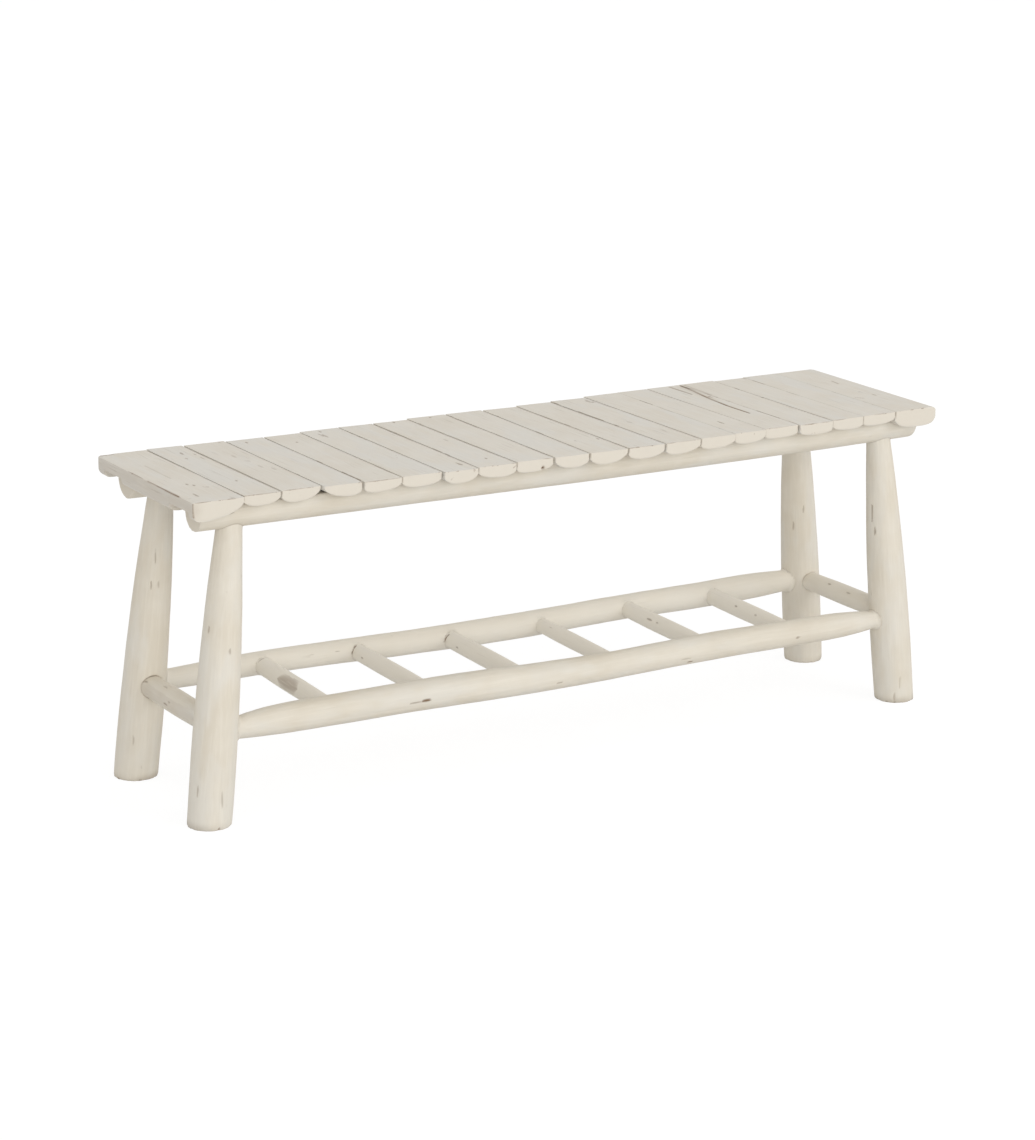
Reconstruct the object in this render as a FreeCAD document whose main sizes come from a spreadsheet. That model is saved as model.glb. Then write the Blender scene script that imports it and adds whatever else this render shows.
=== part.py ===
import FreeCAD, Part
import math
import os
from collections import namedtuple

import Sketcher
from FreeCAD import Placement, Rotation, Vector

# A rustic bench of peeled poles and half-round slats.
# +X runs along the seat to the right, -Y is the front, +Z is up; the origin is the floor under the middle.

# Driving sizes: lengths in millimetres, the two splay angles in degrees.
SIZES = {
    "seat_height": 450.0,                  # floor to the flat of the slats
    "seat_depth": 312.0,                   # foremost slat end to rearmost slat end
    "slat_width": 56.7,                    # an average inner slat
    "end_slat_width": 73.5,
    "slat_gap": 1.8,
    "slat_thickness": 17.0,                # flat to belly of an average inner slat
    "end_slat_thickness": 29.0,
    "slat_stagger": 15.0,                  # the most that a slat's end stands back
    "slat_skew": 5.8,                      # the most that a gap leans from front to back
    "slat_trim": 0.5,                      # taken off a slat's sides to true them
    "rail_diameter": 52.0,
    "rail_flat_rise": 11.0,                # a rail's flat above its axis
    "rail_spacing": 207.0,                 # axis of the front rail to axis of the back rail
    "rail_end_inset": 20.0,                # end of the seat to the end of a rail
    "leg_inset": 74.0,                     # end of the seat to a leg's axis at the rail
    "leg_foot_diameter": 59.5,
    "leg_top_diameter": 35.5,
    "leg_swell": 4.7,                      # how far a leg's side bows out of a straight taper
    "leg_splay_along": 5.77,               # lean towards the end of the seat
    "leg_splay_across": 1.7,               # lean towards the front or the back
    "leg_tenon_diameter": 24.0,
    "leg_mortise_roof": 9.0,               # wood between a leg's mortise and the rail's flat
    "front_stretcher_height": 126.5,
    "back_stretcher_height": 132.0,
    "front_stretcher_diameter": 42.0,
    "back_stretcher_diameter": 37.0,
    "stretcher_bow": 4.0,                  # how far a long stretcher wanders up and down
    "stretcher_pared_length": 38.0,        # the thinned end of a long stretcher
    "stretcher_tenon_diameter": 20.0,
    "end_stretcher_height": 133.5,
    "end_stretcher_diameter": 28.5,
    "end_stretcher_swell": 1.2,
    "end_stretcher_tenon_diameter": 18.0,
    "mortise_wall": 2.5,                   # wood between the two mortises of one leg
    "rung_pitch": 152.0,
    "rung_diameter": 24.0,
    "rung_swell": 0.8,
    "rung_tenon_diameter": 12.0,
    "rung_tenon_length": 10.0,
    "nail_diameter": 2.2,
    "nail_head_diameter": 4.0,
    "nail_head_height": 1.6,
    "nail_point_length": 3.0,
    "nail_length": 40.0,
    "nail_sink": 1.0,                      # top of a nail's head below the seat
    "screw_diameter": 4.5,
    "screw_head_diameter": 8.5,
    "screw_head_height": 3.0,
    "screw_point_length": 5.0,
    "screw_length": 42.0,
    "screw_sink": 1.5,                     # top of a screw's head below the rail's flat
    "joint_clearance": 0.15,               # all round a tenon, a nail or a screw
    "tenon_end_gap": 0.6,                  # glue room beyond a tenon or a point
    "socket_margin": 0.5,                  # how far a socket's floor lies inside the round surface
    "cut_overrun": 5.0,                    # how far every cut runs past the surface
}

# One row per slat, left to right, in shares: width and thickness of the slat's own kind, the height of its
# left and right edge in its thickness, and how far its front and back end stand back in the stagger.
Slat = namedtuple("Slat", "width thickness left_edge right_edge front back")
SLAT_SHARES = (
    Slat(1.00, 1.07, 0.80, 0.32, 0.67, 0.13),
    Slat(0.94, 0.95, 0.60, 0.45, 0.93, 0.00),
    Slat(1.03, 1.04, 0.60, 0.28, 1.00, 0.30),
    Slat(0.99, 1.01, 0.32, 0.70, 0.53, 0.67),
    Slat(0.985, 0.96, 0.80, 0.50, 0.27, 0.77),
    Slat(1.06, 0.98, 0.70, 0.60, 0.40, 0.47),
    Slat(0.92, 1.08, 0.60, 0.36, 0.07, 0.47),
    Slat(1.01, 1.03, 0.55, 0.68, 0.20, 0.60),
    Slat(1.05, 1.01, 0.78, 0.62, 0.33, 0.33),
    Slat(0.99, 1.04, 0.50, 0.38, 0.13, 0.40),
    Slat(1.03, 1.09, 0.55, 0.30, 0.07, 0.67),
    Slat(1.03, 1.05, 0.72, 0.55, 0.07, 0.47),
    Slat(1.02, 1.06, 0.74, 0.48, 0.00, 0.40),
    Slat(1.02, 1.02, 0.76, 0.55, 0.07, 0.13),
    Slat(0.91, 1.01, 0.72, 0.60, 0.27, 0.07),
    Slat(1.00, 0.96, 0.78, 0.76, 0.47, 0.03),
    Slat(1.025, 1.00, 0.76, 0.78, 0.20, 0.00),
    Slat(0.94, 1.00, 0.68, 0.76, 0.40, 0.27),
    Slat(1.025, 0.97, 0.78, 0.60, 0.53, 0.10),
    Slat(1.00, 0.93, 0.65, 0.78, 0.60, 0.13),
)
# Lean of each gap, left to right, in shares of the skew; the two ends of the seat are not trued.
GAP_LEAN_SHARES = (0.0, -0.05, -0.31, 0.10, 0.10, 0.20, 0.10, 0.40, -0.45, 0.20, 1.0,
                   0.05, -0.20, -0.12, 0.10, -0.26, -0.30, 0.15, -0.10, 0.10, 0.0)
# Thickness of an average slat that is left over a rail, after the belly is notched flat.
SLAT_BED_SHARE = 0.88

# Girth of the front rail at stations along its length; the back rail is turned end for end.
RAIL_STATION_SHARES = (0.0, 0.15, 0.35, 0.60, 0.85, 1.0)
RAIL_GIRTH_SHARES = (0.92, 0.93, 1.0, 1.06, 1.05, 0.98)

# Girth and lift of the long stretchers at their left end, pared end, the rungs, pared end and right end.
FRONT_GIRTH_SHARES = (0.72, 0.87, 1.0, 1.03, 1.01, 0.93, 0.95, 0.92, 0.78, 0.62)
FRONT_LIFT_SHARES = (0.0, 0.40, 0.55, 0.55, -0.25, -0.40, 0.38, 0.20, 0.08, 0.0)
BACK_GIRTH_SHARES = (0.78, 0.82, 0.90, 0.93, 0.985, 1.02, 1.0, 1.06, 0.97, 0.88)
BACK_LIFT_SHARES = (0.0, 0.0, 0.50, -0.20, -0.95, -0.90, -0.25, -0.38, 0.0, 0.0)

# Girth of each leg, end stretcher and rung in its kind's diameter.
LEG_GIRTH_SHARES = {"front_left": 1.0, "back_left": 1.02, "front_right": 0.97, "back_right": 0.97}
END_STRETCHER_GIRTH_SHARES = {"left": 1.11, "right": 0.99}
RUNG_GIRTH_SHARES = (1.04, 0.97, 1.05, 0.89, 1.0, 1.04)

ORIGIN, ORIGIN_POINT = -1, 1
HORIZONTAL_AXIS, VERTICAL_AXIS = -1, -2
START, END, CENTRE = 1, 2, 3
UP = Vector(0, 0, 1)

doc = FreeCAD.newDocument("rustic_bench")
sheet = doc.addObject("Spreadsheet::Sheet", "Sizes")
nodes = []


def write_size(alias, amount):
    """Adds one named size to the sheet."""
    row = len(sheet_rows) + 1
    sheet_rows.append(alias)
    sheet.set(f"A{row}", alias.replace("_", " "))
    sheet.set(f"B{row}", repr(float(amount)))
    sheet.setAlias(f"B{row}", alias)


def value(expression):
    """The number that an expression in the sheet's names comes to."""
    return float(sheet.evalExpression(expression))


def share_at(place, stations, shares):
    """The share at a place between two stations."""
    for index in range(len(stations) - 1):
        if place <= stations[index + 1]:
            step = (place - stations[index]) / (stations[index + 1] - stations[index])
            return shares[index] + step * (shares[index + 1] - shares[index])
    return shares[-1]


# Sketches

def new_sketch(body, role, name, offset="0"):
    """A sketch on one of the body's own planes, moved along the plane's normal."""
    plane = next(feature for feature in body.Origin.OriginFeatures if feature.Role == role)
    sketch = body.newObject("Sketcher::SketchObject", name)
    sketch.AttachmentSupport = [(plane, "")]
    sketch.MapMode = "FlatFace"
    sketch.setExpression("AttachmentOffset.Base.z", offset)
    return sketch


def pin_point(sketch, geometry, point, x, y):
    """Ties one point of a sketch to the sheet."""
    for kind, axis, place in (("DistanceX", VERTICAL_AXIS, x), ("DistanceY", HORIZONTAL_AXIS, y)):
        if place == "0":
            sketch.addConstraint(Sketcher.Constraint("PointOnObject", geometry, point, axis))
        else:
            index = sketch.addConstraint(
                Sketcher.Constraint(kind, ORIGIN, ORIGIN_POINT, geometry, point, value(place)))
            sketch.setExpression(f"Constraints[{index}]", place)


def draw_circle(sketch, diameter, y="0"):
    """A circle above the middle of a sketch."""
    circle = sketch.addGeometry(Part.Circle(Vector(0, value(y), 0), UP, value(diameter) / 2))
    pin_point(sketch, circle, CENTRE, "0", y)
    index = sketch.addConstraint(Sketcher.Constraint("Diameter", circle, value(diameter)))
    sketch.setExpression(f"Constraints[{index}]", diameter)


def draw_outline(sketch, corners, swells=()):
    """A closed outline, drawn anticlockwise; a swell makes a side an arc that stands so far off its chord."""
    swells = dict(swells)
    count = len(corners)
    points = [Vector(value(x), value(y), 0) for x, y in corners]
    for side in range(count):
        start, end = points[side], points[(side + 1) % count]
        if side in swells:
            chord = end - start
            outward = Vector(chord.y, -chord.x, 0).normalize()
            middle = (start + end) / 2 + outward * value(swells[side])
            sketch.addGeometry(Part.Arc(start, middle, end))
        else:
            sketch.addGeometry(Part.LineSegment(start, end))
    for side in range(count):
        sketch.addConstraint(Sketcher.Constraint("Coincident", side, END, (side + 1) % count, START))
    for side, (x, y) in enumerate(corners):
        pin_point(sketch, side, START, x, y)
    for side, swell in swells.items():
        (x1, y1), (x2, y2) = corners[side], corners[(side + 1) % count]
        radius = f"(({x2} - ({x1}))^2 + ({y2} - ({y1}))^2) / (8 * ({swell})) + ({swell}) / 2"
        index = sketch.addConstraint(Sketcher.Constraint("Radius", side, value(radius)))
        sketch.setExpression(f"Constraints[{index}]", radius)


# Bodies

def turned_body(name, corners, swells=()):
    """A body turned about its own Z axis from a half profile of radius and height."""
    body = doc.addObject("PartDesign::Body", f"{name}_body")
    sketch = new_sketch(body, "XZ_Plane", f"{name}_profile")
    draw_outline(sketch, corners, swells)
    turning = body.newObject("PartDesign::Revolution", f"{name}_turning")
    turning.Profile = sketch
    turning.ReferenceAxis = (sketch, ["V_Axis"])
    turning.Angle = 360
    return body


def log_body(name, stations):
    """A log along X through round stations of place, diameter and lift."""
    body = doc.addObject("PartDesign::Body", f"{name}_body")
    sketches = []
    for number, (place, diameter, lift) in enumerate(stations):
        sketch = new_sketch(body, "YZ_Plane", f"{name}_station_{number}", place)
        draw_circle(sketch, diameter, lift)
        sketches.append(sketch)
    loft = body.newObject("PartDesign::AdditiveLoft", f"{name}_loft")
    loft.Profile = sketches[0]
    loft.Sections = [(sketch, [""]) for sketch in sketches[1:]]
    return body


def add_round_end(name, body, place, diameter, length, reverse):
    """Pads a straight round neck or tenon on the end of a log along X."""
    sketch = new_sketch(body, "YZ_Plane", f"{name}_circle", place)
    draw_circle(sketch, diameter)
    pad = body.newObject("PartDesign::Pad", name)
    pad.Profile = sketch
    pad.Reversed = reverse
    pad.setExpression("Length", length)


def pole_body(name, length, neck, diameter, swell, tenon_diameter, tenon_length):
    """A pole along Z, middle at the origin, swelling between straight necks, with a tenon at each end."""
    half, radius, tenon_radius = f"({length}) / 2", f"({diameter}) / 2", f"{tenon_diameter} / 2"
    tip = f"{half} + {tenon_length}"
    swell_end = f"{half} - {neck}"
    corners = [("0", f"-({tip})"), (tenon_radius, f"-({tip})"),
               (tenon_radius, f"-{half}"), (radius, f"-{half}"),
               (radius, f"-({swell_end})"), (radius, swell_end),
               (radius, half), (tenon_radius, half), (tenon_radius, tip), ("0", tip)]
    return turned_body(name, corners, {4: swell})


# Cutting tools, each placed in the bench's own frame

def drill(name, diameter, length, base, direction):
    """A round cutter that starts at base and runs along direction."""
    tool = doc.addObject("Part::Cylinder", name)
    tool.setExpression("Radius", f"({diameter}) / 2")
    tool.setExpression("Height", length)
    tool.Placement = Placement(base, Rotation(UP, direction))
    return tool


def block(name, length, width, height, corner, turn=Rotation()):
    """A square cutter with its lowest corner at corner, turned about it."""
    tool = doc.addObject("Part::Box", name)
    tool.setExpression("Length", length)
    tool.setExpression("Width", width)
    tool.setExpression("Height", height)
    tool.Placement = Placement(corner, turn)
    return tool


def socket_tools(name, floor, outward, diameter, tenon_diameter, tenon_length, reach):
    """Cutters for a flat-bottomed socket, open along outward, with a mortise in its floor."""
    clearance = "2 * Sizes.joint_clearance"
    depth = f"{tenon_length} + Sizes.tenon_end_gap"
    socket = drill(f"{name}_socket", f"{diameter} + {clearance}", reach, floor, outward)
    mortise = drill(f"{name}_mortise", f"{tenon_diameter} + {clearance}", f"{depth} + Sizes.cut_overrun",
                    floor - outward * value(depth), outward)
    return [socket, mortise]


def add_node(label, body, tools, placement):
    """Cuts the tools from a body and puts the piece in its place."""
    inverse = placement.inverse()
    for tool in tools:
        tool.Placement = inverse.multiply(tool.Placement)
    cutters = doc.addObject("Part::MultiFuse", f"{label}_cutters")
    cutters.Shapes = tools
    piece = doc.addObject("Part::Cut", f"{label}_piece")
    piece.Base = body
    piece.Tool = cutters
    piece.Placement = placement
    piece.Label = label
    nodes.append(piece)


def add_plain_node(label, body, placement):
    """Puts a body that needs no cuts in its place."""
    body.Placement = placement
    body.Label = label
    nodes.append(body)


def add_group_node(label, body, placements):
    """One node of separate, identical solids."""
    doc.recompute()
    copies = []
    for placement in placements:
        copy = body.Shape.copy()
        copy.Placement = placement
        copies.append(copy)
    group = doc.addObject("Part::Feature", f"{label}_group")
    group.Shape = Part.makeCompound(copies)
    group.Label = label
    nodes.append(group)


def fastener_body(name, kind):
    """A nail or screw that hangs down from the origin, with a tapered head and point."""
    shank, head = f"Sizes.{kind}_diameter / 2", f"Sizes.{kind}_head_diameter / 2"
    corners = [("0", f"-Sizes.{kind}_length"),
               (shank, f"Sizes.{kind}_point_length - Sizes.{kind}_length"),
               (shank, f"-Sizes.{kind}_head_height"), (head, "0"), ("0", "0")]
    return turned_body(name, corners)


def fastener_tools(name, kind, top, direction):
    """Cutters for a fastener whose head's top lies at top, driven along direction."""
    clearance = "2 * Sizes.joint_clearance"
    shank = drill(f"{name}_hole", f"Sizes.{kind}_diameter + {clearance}",
                  f"Sizes.{kind}_length + Sizes.tenon_end_gap", top, direction)
    head = drill(f"{name}_head_hole", f"Sizes.{kind}_head_diameter + {clearance}",
                 f"Sizes.{kind}_head_height + Sizes.{kind}_sink + Sizes.cut_overrun",
                 top + direction * value(f"Sizes.{kind}_head_height"), -direction)
    return [shank, head]


# The sheet and what follows from it

sheet_rows = []
for size_name, size_amount in SIZES.items():
    write_size(size_name, size_amount)
doc.recompute()

last_slat = len(SLAT_SHARES) - 1
rung_count = len(RUNG_GIRTH_SHARES)
clearance = SIZES["joint_clearance"]


def slat_kind(index):
    """Inner slats and the two heavier end slats have sizes of their own."""
    return "end_slat" if index in (0, last_slat) else "slat"


slat_widths = [SIZES[f"{slat_kind(index)}_width"] * row.width for index, row in enumerate(SLAT_SHARES)]
seat_length = sum(slat_widths) + SIZES["slat_gap"] * last_slat
slat_bed = SIZES["slat_thickness"] * SLAT_BED_SHARE
bed_height = SIZES["seat_height"] - slat_bed
rail_axis_height = bed_height - SIZES["rail_flat_rise"]
rail_length = seat_length - 2 * SIZES["rail_end_inset"]
write_size("rail_length", rail_length)
write_size("slat_bed", slat_bed)

slope_along = math.tan(math.radians(SIZES["leg_splay_along"]))
slope_across = math.tan(math.radians(SIZES["leg_splay_across"]))
lean = math.hypot(slope_along, slope_across)
leg_axis_length = rail_axis_height * math.hypot(1, lean)
Leg = namedtuple("Leg", "name side front upward foot placement shoulder tenon neck")


def round_seat(carrier_radius, pole_radius, slope):
    """How far from a round carrier's axis a flat socket floor lies, to let in the pole's whole end."""
    rim = pole_radius + clearance
    return math.sqrt(carrier_radius ** 2 - rim ** 2) - rim * slope - SIZES["socket_margin"]


def neck_length(carrier_radius, pole_radius, slope, seat):
    """Length of a pole's straight end that stays inside the carrier's round surface."""
    return carrier_radius - seat + (pole_radius + clearance) * slope + SIZES["socket_margin"]


def leg_offset(height):
    """Distance of the legs' axes from the bench's middle, along and across, at a height."""
    below = rail_axis_height - height
    return (seat_length / 2 - SIZES["leg_inset"] + slope_along * below,
            SIZES["rail_spacing"] / 2 + slope_across * below)


def plan_leg(name, side, front):
    """Places one leg: its foot on the floor, its axis through the rail's axis, its shoulder in the rail."""
    along, across = leg_offset(rail_axis_height)
    head = Vector(side * along, front * across, rail_axis_height)
    foot = head + Vector(side * slope_along, front * slope_across, -1) * rail_axis_height
    upward = (head - foot).normalize()
    outward = Vector(side * slope_along, front * slope_across, 0).normalize()
    outward = (outward - upward * outward.dot(upward)).normalize()
    rotation = Rotation(outward, upward.cross(outward), upward, "ZXY")
    along_share = 0.5 + head.x / rail_length
    if front > 0:
        along_share = 1 - along_share
    rail_radius = SIZES["rail_diameter"] / 2 * share_at(along_share, RAIL_STATION_SHARES, RAIL_GIRTH_SHARES)
    top_radius = SIZES["leg_top_diameter"] / 2
    rail_seat = round_seat(rail_radius, top_radius, lean)
    neck = neck_length(rail_radius, top_radius, lean, rail_seat)
    mortise_end = (SIZES["rail_flat_rise"] - SIZES["leg_mortise_roof"]) * math.hypot(1, lean)
    tenon = rail_seat + mortise_end - SIZES["tenon_end_gap"]
    shoulder = leg_axis_length - rail_seat
    return Leg(name, side, front, upward, foot, Placement(foot, rotation), shoulder, tenon, neck)


legs = [plan_leg("front_left", -1, -1), plan_leg("front_right", 1, -1),
        plan_leg("back_left", -1, 1), plan_leg("back_right", 1, 1)]
foot_drop = SIZES["leg_foot_diameter"] * lean
write_size("leg_foot_drop", foot_drop)
for leg in legs:
    write_size(f"{leg.name}_leg_shoulder", leg.shoulder)
    write_size(f"{leg.name}_leg_tenon_length", leg.tenon)
    write_size(f"{leg.name}_leg_neck", leg.neck)


def leg_radius(height, girth):
    """Radius of a leg at a height: a shallow arc from the foot to the neck."""
    low = Vector(SIZES["leg_foot_diameter"] / 2 * girth, -foot_drop, 0)
    high = Vector(SIZES["leg_top_diameter"] / 2, min(leg.shoulder - leg.neck for leg in legs), 0)
    chord = high - low
    swell = SIZES["leg_swell"]
    bend = chord.Length ** 2 / (8 * swell) + swell / 2
    outward = Vector(chord.y, -chord.x, 0).normalize()
    centre = (low + high) / 2 - outward * (bend - swell)
    return centre.x + math.sqrt(bend ** 2 - (height * math.hypot(1, lean) - centre.y) ** 2)


def leg_seat(height, pole_radius, slope):
    """Socket floor in the slimmest leg at a height, and the neck that the stoutest leg takes in."""
    seat = round_seat(leg_radius(height, min(LEG_GIRTH_SHARES.values())), pole_radius, slope)
    neck = neck_length(leg_radius(height, max(LEG_GIRTH_SHARES.values())), pole_radius, slope, seat)
    return seat, neck


Stretcher = namedtuple("Stretcher", "name front height across half_length neck tenon girths lifts")


def plan_stretcher(name, front, girths, lifts):
    """Places one long stretcher between the sockets of its two legs."""
    height = SIZES[f"{name}_height"]
    end_radius = SIZES[f"{name}_diameter"] / 2 * max(girths[0], girths[-1])
    along, across = leg_offset(height)
    seat, neck = leg_seat(height, end_radius, slope_along)
    mortise_floor = SIZES["end_stretcher_tenon_diameter"] / 2 + clearance + SIZES["mortise_wall"]
    tenon = seat - mortise_floor - SIZES["tenon_end_gap"]
    return Stretcher(name, front, height, across, along - seat, neck, tenon, girths, lifts)


front_stretcher = plan_stretcher("front_stretcher", -1, FRONT_GIRTH_SHARES, FRONT_LIFT_SHARES)
back_stretcher = plan_stretcher("back_stretcher", 1, BACK_GIRTH_SHARES, BACK_LIFT_SHARES)
for stretcher in (front_stretcher, back_stretcher):
    write_size(f"{stretcher.name}_half_length", stretcher.half_length)
    write_size(f"{stretcher.name}_tenon_length", stretcher.tenon)
    write_size(f"{stretcher.name}_neck", stretcher.neck)

end_height = SIZES["end_stretcher_height"]
end_along, end_across = leg_offset(end_height)
end_radius_most = SIZES["end_stretcher_diameter"] / 2 * max(END_STRETCHER_GIRTH_SHARES.values())
end_seat, end_neck = leg_seat(end_height, end_radius_most, slope_across)
end_mortise_floor = SIZES["stretcher_tenon_diameter"] / 2 + clearance + SIZES["mortise_wall"]
write_size("end_stretcher_length", 2 * (end_across - end_seat))
write_size("end_stretcher_tenon_length", end_seat - end_mortise_floor - SIZES["tenon_end_gap"])
write_size("end_stretcher_neck", end_neck)

Rung = namedtuple("Rung", "name diameter front back direction")


def stretcher_point(stretcher, index, place):
    """Centre and radius of a long stretcher where a rung meets it."""
    station = index + 2
    lift = SIZES["stretcher_bow"] * stretcher.lifts[station]
    centre = Vector(place, stretcher.front * stretcher.across, stretcher.height + lift)
    return centre, SIZES[f"{stretcher.name}_diameter"] / 2 * stretcher.girths[station]


def plan_rung(index):
    """Places one rung between sockets in the two long stretchers."""
    name = f"rack_rung_{index + 1}"
    place = (index - (rung_count - 1) / 2) * SIZES["rung_pitch"]
    radius = SIZES["rung_diameter"] / 2 * RUNG_GIRTH_SHARES[index]
    front_centre, front_radius = stretcher_point(front_stretcher, index, place)
    back_centre, back_radius = stretcher_point(back_stretcher, index, place)
    direction = (back_centre - front_centre).normalize()
    front_seat = round_seat(front_radius, radius, 0)
    back_seat = round_seat(back_radius, radius, 0)
    front = front_centre + direction * front_seat
    back = back_centre - direction * back_seat
    write_size(f"{name}_length", (back - front).Length)
    write_size(f"{name}_neck", max(neck_length(front_radius, radius, 0, front_seat),
                                   neck_length(back_radius, radius, 0, back_seat)))
    diameter = f"Sizes.rung_diameter * {RUNG_GIRTH_SHARES[index]}"
    return Rung(name, diameter, front, back, direction)


rungs = [plan_rung(index) for index in range(rung_count)]
doc.recompute()


# Seat slats

def belly_share(row):
    """Height of the belly's arc over its chord, so that its lowest point is the full thickness down."""
    drop = 1 - (row.left_edge + row.right_edge) / 2
    return (drop + math.sqrt(drop ** 2 - (row.left_edge - row.right_edge) ** 2 / 4)) / 2


def slat_body(name, index):
    """A half-round slat with its flat up and its sides not yet trued, its middle over the origin."""
    row = SLAT_SHARES[index]
    kind = slat_kind(index)
    half = f"Sizes.{kind}_width * {row.width} / 2"
    thickness = f"Sizes.{kind}_thickness * {row.thickness}"
    left, right = f"-{half}", half
    if index > 0:
        left += f" - Sizes.slat_skew * {abs(GAP_LEAN_SHARES[index]) / 2} - Sizes.slat_trim"
    if index < last_slat:
        right += f" + Sizes.slat_skew * {abs(GAP_LEAN_SHARES[index + 1]) / 2} + Sizes.slat_trim"
    corners = [(left, "0"), (left, f"-{thickness} * {row.left_edge}"),
               (right, f"-{thickness} * {row.right_edge}"), (right, "0")]
    body = doc.addObject("PartDesign::Body", f"{name}_body")
    back_y = f"Sizes.seat_depth / 2 - Sizes.slat_stagger * {row.back}"
    sketch = new_sketch(body, "XZ_Plane", f"{name}_section", f"-({back_y})")
    draw_outline(sketch, corners, {1: f"{thickness} * {belly_share(row)}"})
    pad = body.newObject("PartDesign::Pad", f"{name}_length")
    pad.Profile = sketch
    pad.setExpression("Length", f"Sizes.seat_depth - Sizes.slat_stagger * {row.front + row.back}")
    return body


def side_cutter(name, index, side):
    """A square cutter along a slat's side, turned so that the gap there leans from front to back."""
    slope = SIZES["slat_skew"] * GAP_LEAN_SHARES[index + (side > 0)] / SIZES["seat_depth"]
    turn = Rotation(UP, -math.degrees(math.atan(slope)))
    length = "Sizes.slat_skew + Sizes.slat_trim + Sizes.cut_overrun"
    width = "Sizes.seat_depth + 2 * Sizes.cut_overrun"
    height = f"Sizes.{slat_kind(index)}_thickness * {SLAT_SHARES[index].thickness} + 2 * Sizes.cut_overrun"
    front = -value(width) / 2
    corner = Vector(slat_centres[index] + side * slat_widths[index] / 2 + slope * front, front,
                    SIZES["seat_height"] + SIZES["cut_overrun"] - value(height))
    if side < 0:
        corner -= turn.multVec(Vector(value(length), 0, 0))
    return block(name, length, width, height, corner, turn)


def nail_top(index, front):
    """Top of the head of the nail that holds a slat to a rail."""
    height = SIZES["seat_height"] - SIZES["nail_sink"]
    return Vector(slat_centres[index], front * SIZES["rail_spacing"] / 2, height)


def add_slat(index):
    """One slat with trued sides, notched flat over the rails and nailed to each."""
    name = f"seat_slat_{index + 1:02d}"
    row = SLAT_SHARES[index]
    body = slat_body(name, index)
    width = f"Sizes.{slat_kind(index)}_width * {row.width} + Sizes.slat_skew + 2 * Sizes.cut_overrun"
    notch_width = f"Sizes.rail_diameter * {max(RAIL_GIRTH_SHARES)} + 2 * Sizes.socket_margin"
    notch_depth = f"Sizes.{slat_kind(index)}_thickness * {row.thickness} + Sizes.cut_overrun"
    tools = []
    if index > 0:
        tools.append(side_cutter(f"{name}_left_side", index, -1))
    if index < last_slat:
        tools.append(side_cutter(f"{name}_right_side", index, 1))
    for front in (-1, 1):
        corner = Vector(slat_centres[index] - value(width) / 2,
                        front * SIZES["rail_spacing"] / 2 - value(notch_width) / 2,
                        bed_height - value(notch_depth))
        tools.append(block(f"{name}_notch", width, notch_width, notch_depth, corner))
        tools += fastener_tools(f"{name}_nail", "nail", nail_top(index, front), -UP)
    add_node(name, body, tools, Placement(Vector(slat_centres[index], 0, SIZES["seat_height"]), Rotation()))


slat_centres = []
slat_left = -seat_length / 2
for slat_width in slat_widths:
    slat_centres.append(slat_left + slat_width / 2)
    slat_left += slat_width + SIZES["slat_gap"]
for slat_index in range(len(SLAT_SHARES)):
    add_slat(slat_index)


# Rails

def screw_top(leg):
    """Top of the head of the screw that is driven down a leg's axis, below the rail's flat."""
    to_flat = (rail_axis_height + SIZES["rail_flat_rise"]) * math.hypot(1, lean)
    return leg.foot + leg.upward * (to_flat - SIZES["screw_sink"])


def add_rail(name, front, girths):
    """One half-round rail with its flat up, drilled for two legs, two screws and a nail from every slat."""
    stations = [(f"Sizes.rail_length * {share - 0.5}", f"Sizes.rail_diameter * {girth}", "0")
                for share, girth in zip(RAIL_STATION_SHARES, girths)]
    body = log_body(name, stations)
    middle = Vector(0, front * SIZES["rail_spacing"] / 2, rail_axis_height)
    width = "2 * Sizes.rail_diameter"
    length = "Sizes.rail_length + 2 * Sizes.cut_overrun"
    flat_corner = Vector(-value(length) / 2, middle.y - value(width) / 2, bed_height)
    tools = [block(f"{name}_flat", length, width, "Sizes.rail_diameter", flat_corner)]
    for leg in legs:
        if leg.front == front:
            floor = leg.foot + leg.upward * leg.shoulder
            tools += socket_tools(f"{name}_{leg.name}", floor, -leg.upward, "Sizes.leg_top_diameter",
                                  "Sizes.leg_tenon_diameter", f"Sizes.{leg.name}_leg_tenon_length",
                                  "Sizes.rail_diameter")
            tools += fastener_tools(f"{name}_{leg.name}_screw", "screw", screw_top(leg), -leg.upward)
    for index in range(len(SLAT_SHARES)):
        tools.append(fastener_tools(f"{name}_nail", "nail", nail_top(index, front), -UP)[0])
    add_node(name, body, tools, Placement(middle, Rotation()))


add_rail("front_rail", -1, RAIL_GIRTH_SHARES)
add_rail("back_rail", 1, RAIL_GIRTH_SHARES[::-1])


# Legs

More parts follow.
